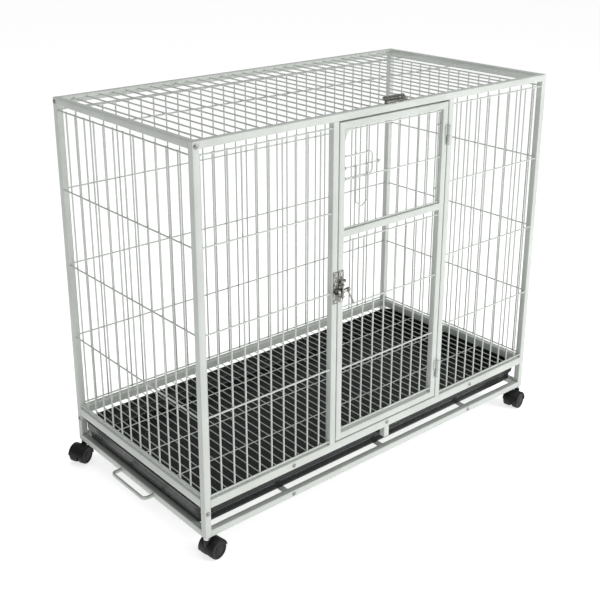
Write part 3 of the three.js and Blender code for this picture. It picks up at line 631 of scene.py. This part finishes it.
def support_bars():
    """Flat bars with rolled edges, three across and two along, flush with the tops of the lower rails."""
    low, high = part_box("tray_support_bars")
    shape = Shape()
    middle = (low.z + high.z) / 2
    raised = middle + 0.05 * MM  # keeps the faces of crossing bars apart
    half = BAR_WIDTH / 2
    section = rounded_rect(BAR_WIDTH, high.z - low.z, 0.9 * MM, 3)
    for y in LONG_BARS:
        shape.sweep([(low.x - SEAM, y, middle), (high.x + SEAM, y, middle)], section, Z)
    for x in CROSS_BARS:
        shape.sweep([(x, low.y - SEAM, raised), (x, high.y + SEAM, raised)], section, Z)
        for y in (low.y, high.y):
            shape.bead((x - half, y, low.z), (x + half, y, low.z), 1.1 * MM)
        for y in LONG_BARS:
            for edge in (x - half, x + half):
                shape.bead((edge, y - half, low.z), (edge, y + half, low.z), 0.9 * MM)
    piece(shape, "tray_support_bars_flat", "frame", TUBE_PAINT, ["tray_support_bars"])


def push_handle():
    low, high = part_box("push_handle")
    shape = Shape()
    bar = high.z - low.z
    z = (low.z + high.z) / 2
    outer = low.x + bar / 2
    root = high.x + SEAM
    ends = (low.y + bar / 2, high.y - bar / 2)
    corners = [(root, ends[0], z), (outer, ends[0], z), (outer, ends[1], z), (root, ends[1], z)]
    path = filleted(corners, 10 * MM, 8)
    shape.sweep(path, rounded_rect(5.4 * MM, bar, 1.4 * MM), Z)
    for y in ends:
        shape.bead((root, y - bar / 2, low.z), (root, y + bar / 2, low.z), 1.2 * MM)
        shape.bead((root, y - bar / 2, high.z), (root, y + bar / 2, high.z), 1.2 * MM)
    piece(shape, "push_handle_bar", "frame", TUBE_PAINT, ["push_handle"])


tray()
support_bars()
push_handle()


# ---------------------------------------------------------------- screws
def add_screw(shape, at, axis, head=4.6 * MM):
    """A round-headed screw on its washer, with a round socket sunk in the head."""
    at = Vector(at)
    shape.lathe([(0, -0.1 * MM), (head * 1.22, -0.1 * MM), (head * 1.22, 0.5 * MM), (head * 1.1, 0.8 * MM),
                 (head * 0.9, 0.8 * MM), (0, 0.8 * MM)], at, axis, 24)
    dome = [(0, 0.7 * MM), (head * 0.98, 0.7 * MM), (head, 1.1 * MM)]
    for i in range(1, 6):
        angle = math.radians(15 * i)
        dome.append((head * math.cos(angle), 1.1 * MM + head * 0.42 * math.sin(angle)))
    floor = 1.1 * MM
    dome += [(head * 0.24, 1.1 * MM + head * 0.36), (head * 0.22, floor), (0, floor)]
    shape.lathe(dome, at, axis, 24)


SMALL_HEAD = 4.2 * MM
BAR_SCREWS = (-291 * MM, 311 * MM)


def frame_screws():
    """Screws where each side is bolted to the next side's post, at the bars and at the tray stop."""
    shape = Shape()
    half = TUBE / 2
    heights = (TOP - 10 * MM, FOOT + 60 * MM)
    for z in heights:
        add_screw(shape, (LEFT + half, FRONT, z), -Y)
        add_screw(shape, (RIGHT, FRONT + half, z), X)
        add_screw(shape, (RIGHT - half, BACK, z), Y)
        add_screw(shape, (LEFT, BACK - half, z), -X)
    stop_low, stop_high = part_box("tray_stop")
    rail_low, rail_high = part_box("floor_rail_front")
    bottom_low, bottom_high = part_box("lower_rail_front")
    for x in BAR_SCREWS:
        for low, high in ((rail_low, rail_high), (bottom_low, bottom_high)):
            add_screw(shape, (x, FRONT, (low.z + high.z) / 2), -Y, SMALL_HEAD)
            add_screw(shape, (x, BACK, (low.z + high.z) / 2), Y, SMALL_HEAD)
    add_screw(shape, ((stop_low.x + stop_high.x) / 2, FRONT, rail_low.z + 12 * MM), -Y, SMALL_HEAD)
    piece(shape, "frame_screws", "frame", SCREW)


frame_screws()


# ---------------------------------------------------------------- front door
EYE_WIRE = 1.0 * MM


def add_eye(shape, centre, across, up, radius, steps):
    """A closed ring of thin wire in the plane of two axes."""
    rings = []
    for i in range(steps):
        angle = math.tau * i / steps
        outward = across * math.cos(angle) + up * math.sin(angle)
        rings.append(place(circle(EYE_WIRE, 8), centre + outward * radius, outward, across.cross(up)))
    shape.loft(rings, closed=True)


def door_frame():
    low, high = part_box("door_frame")
    shape = Shape()
    feed_low, feed_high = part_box("feed_door")
    head = high.z - TUBE
    foot = low.z + TUBE
    middle_top = feed_low.z - 2.2 * MM
    for x in (low.x, high.x - TUBE):
        add_tube(shape, (x, low.y, low.z), (x + TUBE, high.y, high.z), 2)
    overlap = TUBE_CORNER
    for z in (low.z, middle_top - TUBE, head):
        start = (low.x + TUBE - overlap, low.y, z)
        end = (high.x - TUBE + overlap, high.y, z + TUBE)
        add_tube(shape, start, end, 0)
    opening = (low.x + TUBE, high.x - TUBE)
    for x in opening:
        for z in (foot, middle_top - TUBE, middle_top, head):
            shape.bead((x, low.y + 2 * MM, z), (x, high.y - 2 * MM, z), 1.0 * MM)
    # eyes that the feed door's last upright turns in
    axis = JOINTS["feed_door_hinge"]["pos_m"]
    eye_inset = 34 * MM
    for z in (feed_low.z + eye_inset, feed_high.z - eye_inset):
        add_eye(shape, Vector((axis[0], axis[1], z)), X, Y, 3.9 * MM, 24)
        shape.rod((axis[0] + 3.6 * MM, axis[1], z), (opening[1] + 0.5 * MM, axis[1], z), 1.2 * MM)
    piece(shape, "door_frame_tubes", "door", TUBE_PAINT, ["door_frame"])

    # thin black disc on the stile: painted shade standing in for the hole that the feed door bolt goes into
    bolt_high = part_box("feed_door_bolt")[1]
    hole_shade_disc = Shape()
    centre = (opening[0] + 0.02 * MM, FRONT + 3 * MM + WIRE / 2, bolt_high.z - WIRE / 2)
    hole_shade_disc.lathe([(0, 0), (2.6 * MM, 0), (2.6 * MM, 0.15 * MM), (0, 0.15 * MM)], centre, X, 20)
    # the black disc is painted shade, not a modelled hole
    piece(hole_shade_disc, "feed_bolt_hole_painted_shade", "door", WHEEL_PLASTIC)


def door_gusset():
    low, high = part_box("door_gusset")
    shape = Shape()
    reach = high.x - low.x
    outline = [(low.x - SEAM, high.z + SEAM), (high.x, high.z + SEAM)]
    for i in range(1, 8):
        t = i / 8
        bend = 2 * t * (1 - t) * 0.2
        outline.append((low.x + reach * ((1 - t) ** 2 + bend), high.z - reach * (t**2 + bend)))
    outline.append((low.x - SEAM, low.z))
    rings = [[Vector((x, y, z)) for x, z in outline] for y in (high.y, low.y)]
    shape.loft(rings)
    piece(shape, "door_gusset_plate", "door", TUBE_PAINT, ["door_gusset"])


def hinges():
    """Painted barrel hinges: two knuckles on a pin, each on a short leaf."""
    axis = JOINTS["door_hinge"]["pos_m"]
    radius = 4.5 * MM
    edge = 0.7 * MM
    cap = 0.2 * MM
    for name in ("upper_hinge", "lower_hinge"):
        for half, body, side in (("_post_half", "frame", 1), ("_door_half", "door", -1)):
            low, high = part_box(name + half)
            if half == "_post_half":
                high.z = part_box(name + "_door_half")[0].z - SEAM
            shape = Shape()
            length = high.z - low.z
            profile = [(0, 0), (radius - edge, 0), (radius, edge)]
            profile += [(radius, length - edge), (radius - edge, length)]
            crown = [(radius * 0.5, length + cap), (0, length + cap)] if side < 0 else [(0, length)]
            shape.lathe(profile + crown, (axis[0], axis[1], low.z), Z, 24)
            leaf = sorted((axis[0], axis[0] + side * (radius + 5 * MM)))
            shape.block((leaf[0], FRONT - 2.3 * MM, low.z), (leaf[1], FRONT - 0.1 * MM, high.z), 0.5 * MM)
            weld_x = leaf[1] if side > 0 else leaf[0]
            weld_y = FRONT - 0.4 * MM
            shape.bead((weld_x, weld_y, low.z + 2 * MM), (weld_x, weld_y, high.z - 2 * MM), 1 * MM)
            piece(shape, name + half + "_knuckle", body, TUBE_PAINT, [name + half])


door_frame()
door_gusset()
hinges()


# ---------------------------------------------------------------- feed door
FEED_LOW, FEED_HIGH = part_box("feed_door")
LEVEL_Y = FRONT + 3 * MM + WIRE / 2
HAIRPIN_Y = LEVEL_Y - WIRE - SEAM
FEED_MIDDLE = (FEED_LOW.z + FEED_HIGH.z) / 2
BOLT_Z = FEED_MIDDLE + 26 * MM
FEED_CELL = (FEED_HIGH.x - FEED_LOW.x - WIRE) / DOOR_CELLS
FIRST_UPRIGHT = FEED_LOW.x + WIRE / 2
FEED_WIRE = 3.5 * MM


def feed_door():
    """Wire gate with the hairpin that guides its bolt and the two eyes that the bolt runs in."""
    shape = Shape()
    uprights = [FIRST_UPRIGHT + i * FEED_CELL for i in range(DOOR_CELLS + 1)]
    levels = (FEED_LOW.z + WIRE / 2, FEED_MIDDLE, FEED_HIGH.z - WIRE / 2)
    depths = (LEVEL_Y, LEVEL_Y + WIRE - WELD_SINK)
    span = (FEED_LOW.z, FEED_HIGH.z)
    reach = (FEED_LOW.x, FEED_HIGH.x)
    add_wire_grid(shape, FEED_WIRE, uprights, span, levels, reach, depths, AXES, -0.2 * MM)
    low_leg = FEED_MIDDLE + 4.5 * MM
    high_leg = FEED_MIDDLE + 53 * MM
    end = FIRST_UPRIGHT + 79 * MM - WIRE / 2
    corners = [(FEED_LOW.x, HAIRPIN_Y, high_leg), (end, HAIRPIN_Y, high_leg),
               (end, HAIRPIN_Y, low_leg), (FEED_LOW.x, HAIRPIN_Y, low_leg)]
    shape.sweep(filleted(corners, 9 * MM, 8), circle(FEED_WIRE / 2, 12), Y, 0.4 * MM)
    for z in (low_leg, high_leg):
        for i in range(3):
            x = uprights[i]
            shape.blob((x, HAIRPIN_Y + WIRE * 0.9, z), (WIRE * 0.55, WIRE * 0.9, WIRE * 0.5))
    for i in (0, 3):
        add_eye(shape, Vector((uprights[i], LEVEL_Y, BOLT_Z)), Y, Z, 3.1 * MM, 20)
    piece(shape, "feed_door_gate", "feed_door", WIRE_PAINT, ["feed_door"])


def feed_bolt():
    """The rod and its hanging finger loop, bent from one wire."""
    low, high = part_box("feed_door_bolt")
    shape = Shape()
    shape.sweep([(low.x, LEVEL_Y, BOLT_Z), (high.x, LEVEL_Y, BOLT_Z)], circle(WIRE / 2, 12), Z, 0.4 * MM)
    loop_y = HAIRPIN_Y - WIRE - SEAM
    legs = (FIRST_UPRIGHT + 26 * MM, FIRST_UPRIGHT + 62 * MM)
    drop = BOLT_Z - 78 * MM
    middle = (legs[0] + legs[1]) / 2
    corners = [(legs[0], loop_y, BOLT_Z), (legs[0], loop_y, drop), (middle, loop_y, drop - 14 * MM),
               (legs[1], loop_y, drop), (legs[1], loop_y, BOLT_Z)]
    shape.sweep(filleted(corners, 4 * MM, 6), circle(FEED_WIRE / 2, 12), Y)
    for x in legs:
        shape.rod((x, LEVEL_Y, BOLT_Z), (x, loop_y, BOLT_Z), WIRE / 2, 12)
        shape.blob((x, loop_y, BOLT_Z), [WIRE * 0.55] * 3, 6, 12)
        shape.blob((x, LEVEL_Y, BOLT_Z), [WIRE * 0.62] * 3, 6, 12)
    piece(shape, "feed_door_bolt_wire", "feed_door_bolt", WIRE_PAINT, ["feed_door_bolt"])


feed_door()
feed_bolt()


# ---------------------------------------------------------------- latch
LATCH = JOINTS["latch_lever_turn"]["pos_m"]
LATCH_AXIS = Vector((0, LATCH[1], LATCH[2]))
BOLT_RADIUS = 4 * MM


def rounded_plate(shape, low, high, radius, steps=6):
    """An upright plate facing the front, with round corners and softened edges."""
    middle = (Vector(low) + Vector(high)) / 2
    width = high[0] - low[0]
    height = high[2] - low[2]
    soft = 0.3 * MM
    outline = rounded_rect(width, height, radius, steps)
    inner = rounded_rect(width - 2 * soft, height - 2 * soft, radius - soft, steps)
    levels = ((outline, high[1]), (outline, low[1] + soft), (inner, low[1]))
    shape.loft([place(section, Vector((middle.x, y, middle.z)), X, Z) for section, y in levels])


def add_rivet(shape, at, axis, radius=1.9 * MM):
    profile = [(0, -0.1 * MM), (radius, -0.1 * MM), (radius, 0.2 * MM)]
    for i in range(1, 7):
        angle = math.radians(15 * i)
        profile.append((radius * math.cos(angle), 0.2 * MM + radius * 0.5 * math.sin(angle)))
    shape.lathe(profile, at, axis, 16)


def barrel(shape, start, end, inner, outer, edge=0.4 * MM):
    """A short tube along X on the bolt's line, open at both ends."""
    length = end - start
    profile = [(inner, edge), (inner + edge, 0), (outer - edge, 0), (outer, edge), (outer, length - edge),
               (outer - edge, length), (inner + edge, length), (inner, length - edge)]
    rings = [place(circle(r, 28), LATCH_AXIS + X * (start + d), Y, Z) for r, d in profile]
    shape.loft(rings, closed=True)


def bolt_guide(shape, start, end, face):
    """A ring that the bolt runs in, on two feet that reach back to its plate."""
    barrel(shape, start, end, BOLT_RADIUS + 0.5 * MM, BOLT_RADIUS + 2.3 * MM)
    for side in (-1, 1):
        z = LATCH_AXIS.z + side * (BOLT_RADIUS + 1.8 * MM)
        shape.block((start, LATCH_AXIS.y, z - 0.8 * MM), (end, face - 1 * MM, z + 0.8 * MM))


def latch():
    low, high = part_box("latch_base")
    face = high.y
    shape = Shape()
    rounded_plate(shape, (low.x, face - 1.5 * MM, low.z), (high.x, face, high.z - 20 * MM), 7 * MM)
    rounded_plate(shape, (low.x, face - 1.52 * MM, low.z + 20 * MM), (high.x, face, high.z), 1.2 * MM)
    bolt_guide(shape, low.x, low.x + 4.2 * MM, face)
    bolt_guide(shape, low.x + 5.6 * MM, low.x + 9.6 * MM, face)
    middle = (low.x + high.x) / 2
    rivets = Shape()
    for z in (low.z + 7 * MM, high.z - 8 * MM):
        add_rivet(rivets, (middle, face - 1.5 * MM, z), -Y, 2.6 * MM)
    piece(rivets, "latch_base_rivets", "door", RIVET)
    # curled guard over the upper part of the plate
    curl_z = LATCH_AXIS.z + 22 * MM
    curl = []
    for i in range(11):
        angle = math.radians(-20 + 22 * i)
        lift = 3.4 * MM * math.cos(angle)
        curl.append((middle + 1 * MM, face - 4.8 * MM - 3.4 * MM * math.sin(angle), curl_z + lift))
    shape.sweep(curl, rounded_rect(1.0 * MM, high.x - low.x, 0.4 * MM, 2), X)
    # folded ears above and below the barrel, with a strap across their fronts
    ear = 0.7 * MM
    for z in (LATCH_AXIS.z + 13.5 * MM, LATCH_AXIS.z - 13 * MM):
        shape.block((low.x, face - 10 * MM, z - ear), (high.x - 3 * MM, face - 1 * MM, z + ear), 0.4 * MM)
    shape.block((low.x, face - 14.6 * MM, LATCH_AXIS.z - 13.7 * MM),
                (low.x + 4 * MM, face - 13.4 * MM, LATCH_AXIS.z + 14.2 * MM), 0.4 * MM)
    piece(shape, "latch_base_plate", "door", NICKEL, ["latch_base"])

    low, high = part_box("latch_keeper")
    keeper = Shape()
    rounded_plate(keeper, (low.x, high.y - 1.5 * MM, low.z), (high.x, high.y, high.z), 1.2 * MM)
    bolt_guide(keeper, high.x - 7 * MM, high.x, high.y)
    rivets = Shape()
    for z in (low.z + 6 * MM, (low.z + high.z) / 2 + 10 * MM, high.z - 9 * MM):
        add_rivet(rivets, ((low.x + high.x) / 2, high.y - 1.5 * MM, z), -Y, 2.4 * MM)
    piece(rivets, "latch_keeper_rivets", "frame", RIVET)
    piece(keeper, "latch_keeper_plate", "frame", NICKEL, ["latch_keeper"])

    low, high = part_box("latch_bolt")
    bolt = Shape()
    length = high.x - low.x
    collar = LATCH[0] - low.x
    groove = (collar - 3.3 * MM, collar + 3.3 * MM)
    groove_radius = 3 * MM
    nose = 1.2 * MM
    tail = 0.8 * MM
    profile = [(0, 0), (BOLT_RADIUS - nose, 0), (BOLT_RADIUS, nose), (BOLT_RADIUS, groove[0]),
               (groove_radius, groove[0]), (groove_radius, groove[1]), (BOLT_RADIUS, groove[1]),
               (BOLT_RADIUS, length - tail), (BOLT_RADIUS - tail, length), (0, length)]
    bolt.lathe(profile, (low.x, LATCH_AXIS.y, LATCH_AXIS.z), X, 28)
    piece(bolt, "latch_bolt_rod", "latch_bolt", NICKEL, ["latch_bolt"])

    lever = Shape()
    centre = Vector(LATCH)
    half = 3 * MM
    barrel(lever, centre.x - half, centre.x + half, 3.3 * MM, 5 * MM, 0.5 * MM)
    bends = ((0, -2, -4.6), (3.4, -2.4, -11), (7.6, -3.2, -20), (11, -4, -28))
    path = [centre + Vector(bend) * MM for bend in bends]
    lever.sweep(path, rounded_rect(3.4 * MM, 2.6 * MM, 0.9 * MM, 3), Y, 0.3 * MM)
    piece(lever, "latch_lever_arm", "latch_lever", NICKEL, ["latch_lever"])
    grip = Shape()
    tip = centre + Vector((10, -3.7, -26)) * MM
    along = Vector((4.6, -1.3, -10)).normalized()
    knob = ((0, -0.5), (1.7, -0.5), (2.2, 0.4), (2.6, 3), (2.6, 7), (2.1, 9.4), (1.1, 10.6), (0, 10.9))
    grip.lathe([(r * MM, d * MM) for r, d in knob], tip, along, 20)
    piece(grip, "latch_lever_tip", "latch_lever", NICKEL)


latch()


# ---------------------------------------------------------------- hasp
HASP_KNUCKLE = 2.6 * MM
HASP_PIN = JOINTS["hasp_hinge"]["pos_m"]


def hasp_knuckle(shape, start, end):
    """A solid barrel on the hasp's pin, with softened ends."""
    length = end - start
    edge = 0.4 * MM
    soft = HASP_KNUCKLE - edge
    profile = [(0, 0), (soft, 0), (HASP_KNUCKLE, edge)]
    profile += [(HASP_KNUCKLE, length - edge), (soft, length), (0, length)]
    shape.lathe(profile, (start, HASP_PIN[1], HASP_PIN[2]), X, 20)


def hasp():
    low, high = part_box("hasp_leaf")
    pin = HASP_PIN
    left, right = low.x, high.x
    leaf = Shape()
    section = rounded_rect(right - left, pin[1] - low.y, 2.5 * MM, 5)
    centre = Vector(((left + right) / 2, (pin[1] + low.y) / 2, low.z))
    leaf.loft([place(section, centre, X, Y), place(section, centre + Z * 1.1 * MM, X, Y),
               place(shrunk(section, 0.3 * MM), centre + Z * 1.4 * MM, X, Y)])
    split = 16 * MM
    hasp_knuckle(leaf, left, left + split)
    hasp_knuckle(leaf, right - split, right)
    rivets = Shape()
    for x in (left + 22 * MM, (left + right) / 2, right - 22 * MM):
        add_rivet(rivets, (x, low.y + 3.4 * MM, low.z + 0.6 * MM), Z, 1.7 * MM)
    piece(rivets, "hasp_rivets", "frame", RIVET)
    piece(leaf, "hasp_leaf_plate", "frame", NICKEL, ["hasp_leaf"])

    flap = Shape()
    inset = split + SEAM
    hasp_knuckle(flap, left + inset, right - inset)
    tilt = Matrix.Rotation(-math.radians(45), 3, "X")
    hinge = Vector((0, pin[1], pin[2]))
    out = tilt @ Z
    normal = tilt @ Y
    start = HASP_KNUCKLE + SEAM
    reach = 12 * MM
    thick = 1.3 * MM
    middle_x = (left + right) / 2
    plate = rounded_rect(right - left - 1 * MM, reach, 3 * MM, 5)
    centre = hinge + X * middle_x + out * (start + reach / 2)
    levels = ((plate, thick / 2), (shrunk(plate, 0.25 * MM), -thick / 2))
    flap.loft([place(s, centre + normal * d, X, out) for s, d in levels])
    neck = rounded_rect(right - left - 2 * inset - 2 * MM, 6 * MM, 1 * MM, 3)
    neck_centre = hinge + X * middle_x + out * 2.6 * MM
    flap.loft([place(neck, neck_centre + normal * d, X, out) for d in (thick / 2, -thick / 2)])
    for side in (-1, 1):
        rib_start = centre + X * side * 26 * MM - out * 3.5 * MM - normal * thick * 0.4
        flap.sweep([rib_start, rib_start + out * 7 * MM], circle(1.3 * MM, 12), normal, 0.6 * MM)
    rib = centre - X * 19 * MM - out * 1 * MM - normal * thick * 0.4
    flap.sweep([rib, rib + X * 38 * MM], circle(1.4 * MM, 12), normal, 0.6 * MM)
    for x in (-12, 2, 14):
        add_rivet(flap, centre + X * x * MM - out * 3.8 * MM - normal * thick / 2, -normal, 1.5 * MM)
    piece(flap, "hasp_flap_plate", "hasp_flap", NICKEL, ["hasp_flap"])


hasp()


# ---------------------------------------------------------------- casters
STEM_RADIUS = 4 * MM
WHEEL_RADIUS = 22 * MM
WHEEL_WIDTH = 16.5 * MM
WEB = 9 * MM
TRAIL = 17 * MM
HOOD_RADIUS = 25 * MM
HOOD_TOP = FOOT - 4 * MM
COLLAR_FOOT = HOOD_TOP - 3 * MM


def hood_outline(steps=28):
    """Side view of the hood shell: an arc over the wheels, from its outer face round to its inner face."""
    start = math.radians(8)
    end = math.radians(190)
    outer = []
    inner = []
    for i in range(steps + 1):
        angle = start + (end - start) * i / steps
        outer.append((HOOD_RADIUS * math.cos(angle), HOOD_RADIUS * math.sin(angle)))
        thin = WHEEL_RADIUS + 1.2 * MM
        inner.append((thin * math.cos(angle), thin * math.sin(angle)))
    return outer, inner


def hood_shape():
    """Hood, rib between the wheels and the boss that takes the stem, about the swivel axis."""
    shape = Shape()
    outer, inner = hood_outline()
    half = WEB / 2 + WHEEL_WIDTH + 1 * MM
    axle = Vector((TRAIL, 0, WHEEL_RADIUS))
    soft = 2.2 * MM
    rows = []
    for y, draw in ((-half, soft), (-half + 0.7 * MM, soft * 0.45), (-half + soft, 0), (half - soft, 0),
                    (half - 0.7 * MM, soft * 0.45), (half, soft)):
        share = 1 - draw / HOOD_RADIUS
        ring = [(a * share, b * share) for a, b in outer] + inner[::-1]
        rows.append([axle + Vector((a, y, b)) for a, b in ring])
    shape.loft(rows)
    web = WEB / 2 - 0.6 * MM
    disc = []
    steps = 40
    for i in range(steps):
        angle = math.tau * i / steps
        radius = HOOD_RADIUS - 1.2 * MM
        z = max(radius * math.sin(angle), -8 * MM)
        disc.append((radius * math.cos(angle), z))
    shape.loft([[axle + Vector((a, y, b)) for a, b in disc] for y in (web, -web)])
    shape.block((-6 * MM, -web, WHEEL_RADIUS + 8 * MM), (TRAIL, web, COLLAR_FOOT - 2 * MM), 0.6 * MM)
    boss = 7 * MM
    shape.lathe([(0, 0), (boss - 1 * MM, 0), (boss, 1 * MM), (boss, 7.6 * MM), (boss - 1.2 * MM, 9 * MM),
                 (STEM_RADIUS + 0.3 * MM, 9 * MM), (STEM_RADIUS + 0.3 * MM, 6 * MM), (0, 6 * MM)],
                (0, 0, COLLAR_FOOT - 9 * MM), Z, 32)
    return shape


def wheel_shape():
    """Two wheels with a crowned tread, a sunk face and a hub cap, on one axle."""
    shape = Shape()
    inner_edge = ((2, 0), (0.6, 0.7), (0, 2.2))  # millimetres in from the rim, and out from the inner face
    outer_edge = ((0, 3), (0.5, 1.3), (2, 0.2), (3.4, 0), (5, 0.3), (6, 1.4))  # the same, from the outer face
    hub = ((0.5, 1.8), (0.44, 0.9), (0.36, 0.5), (0, 0.4))  # share of the radius, and in from the outer face
    profile = [(0, 0)]
    profile += [(WHEEL_RADIUS - inset * MM, depth * MM) for inset, depth in inner_edge]
    profile += [(WHEEL_RADIUS - inset * MM, WHEEL_WIDTH - depth * MM) for inset, depth in outer_edge]
    profile += [(WHEEL_RADIUS * share, WHEEL_WIDTH - depth * MM) for share, depth in hub]
    for side in (-1, 1):
        root = Vector((TRAIL, side * WEB / 2, WHEEL_RADIUS))
        shape.lathe(profile, root, Y * side, 48)
    shape.rod((TRAIL, -WEB, WHEEL_RADIUS), (TRAIL, WEB, WHEEL_RADIUS), 3 * MM, 20)
    return shape


def stem_shape():
    shape = Shape()
    collar = 6.8 * MM
    foot = COLLAR_FOOT - HOOD_TOP + 10.2 * MM
    top = 13.6 * MM
    profile = [(0, 0), (STEM_RADIUS, 0), (STEM_RADIUS, foot), (collar - 1.2 * MM, foot),
               (collar, foot + 1.2 * MM), (collar, top - 1 * MM), (collar - 1 * MM, top),
               (STEM_RADIUS, top), (STEM_RADIUS, 20 * MM), (0, 20 * MM)]
    shape.lathe(profile, (0, 0, HOOD_TOP - 10 * MM), Z, 32)
    side = TUBE - 2 * TUBE_WALL - 2 * SEAM
    shape.block((-side / 2, -side / 2, FOOT + 1 * MM), (side / 2, side / 2, FOOT + 24 * MM), 1 * MM)
    return shape


def casters():
    for corner in CORNERS:
        name = "caster_" + corner
        wheel_body = name + "_wheel_pair"
        swivel = Vector(JOINTS[name + "_swivel_joint"]["pos_m"])
        axle = Vector(JOINTS[name + "_axle"]["pos_m"])
        angle = math.atan2(axle.y - swivel.y, axle.x - swivel.x)
        foot = Vector((swivel.x, swivel.y, 0))
        stem = stem_shape().turned(0, foot)
        piece(stem, name + "_stem_pin", "frame", ZINC, [name + "_stem"])
        hood = hood_shape().turned(angle, foot)
        piece(hood, name + "_hood", name + "_swivel", HOOD_PLASTIC, [name + "_housing"])
        wheels = wheel_shape().turned(angle, foot)
        piece(wheels, name + "_wheel_twins", wheel_body, WHEEL_PLASTIC, [name + "_wheels"])


casters()


# ---------------------------------------------------------------- floor, light and camera
def studio_floor():
    mesh = bpy.data.meshes.new("studio_floor")
    size = 14
    corners = [(-size, -size, 0), (size, -size, 0), (size, size, 0), (-size, size, 0)]
    mesh.from_pydata(corners, [], [(0, 1, 2, 3)])
    n = Nodes("studio_white")
    n.link(n.ramp(n.noise(0.6, 2), [(0.0, 0.9), (1.0, 0.93)]), n.shader, "Base Color")
    n.set(Roughness=0.9, Specular_IOR_Level=0.0, Emission_Color=(1, 1, 1, 1), Emission_Strength=0.7)
    mesh.materials.append(n.material)
    made = bpy.data.objects.new("studio_floor", mesh)
    bpy.context.scene.collection.objects.link(made)


def area_light(name, at, target, size, power):
    data = bpy.data.lights.new(name, "AREA")
    data.shape = "DISK"
    data.size = size
    data.energy = power
    lamp = bpy.data.objects.new(name, data)
    lamp.location = at
    lamp.rotation_euler = (Vector(target) - Vector(at)).to_track_quat("-Z", "Y").to_euler()
    bpy.context.scene.collection.objects.link(lamp)


WORLD_LIGHT = 0.3  # light from all round; the backdrop itself is seen pure white


def studio():
    studio_floor()
    middle = (0, 0, 0.45)
    area_light("key", (2.0, -3.6, 1.4), middle, 2.0, 84)
    area_light("overhead", (0.3, 0.2, 3.6), middle, 3.0, 38)
    world = bpy.data.worlds.new("studio_world")
    world.use_nodes = True
    tree = world.node_tree
    background = tree.nodes["Background"]
    background.inputs["Color"].default_value = (1, 1, 1, 1)
    background.inputs["Strength"].default_value = WORLD_LIGHT
    backdrop = tree.nodes.new("ShaderNodeBackground")
    backdrop.inputs["Strength"].default_value = 1.0
    backdrop.inputs["Color"].default_value = (1, 1, 1, 1)
    path = tree.nodes.new("ShaderNodeLightPath")
    mix = tree.nodes.new("ShaderNodeMixShader")
    tree.links.new(path.outputs["Is Camera Ray"], mix.inputs[0])
    tree.links.new(background.outputs[0], mix.inputs[1])
    tree.links.new(backdrop.outputs[0], mix.inputs[2])
    tree.links.new(mix.outputs[0], tree.nodes["World Output"].inputs["Surface"])
    bpy.context.scene.world = world


LENS = 60.36
SHIFT_X, SHIFT_Y = 0.006, -0.115
CAMERA_AZIMUTH = math.radians(-40.38)
CAMERA_ELEVATION = math.radians(19.12)
CAMERA_DISTANCE = 2.7127
CAMERA_TARGET = Vector((0.098, 0.177, 0.435 + FOOT))


def camera():
    data = bpy.data.cameras.new("camera")
    data.lens = LENS
    data.sensor_width = 36
    data.shift_x = SHIFT_X
    data.shift_y = SHIFT_Y
    made = bpy.data.objects.new("camera", data)
    bpy.context.scene.collection.objects.link(made)
    level = math.cos(CAMERA_ELEVATION)
    back_x = math.sin(CAMERA_AZIMUTH) * level
    back_y = -math.cos(CAMERA_AZIMUTH) * level
    back = Vector((back_x, back_y, math.sin(CAMERA_ELEVATION)))
    made.location = CAMERA_TARGET + back * CAMERA_DISTANCE
    made.rotation_euler = (-back).to_track_quat("-Z", "Y").to_euler()
    bpy.context.scene.camera = made


studio()
camera()
bpy.context.scene.view_settings.view_transform = "Standard"
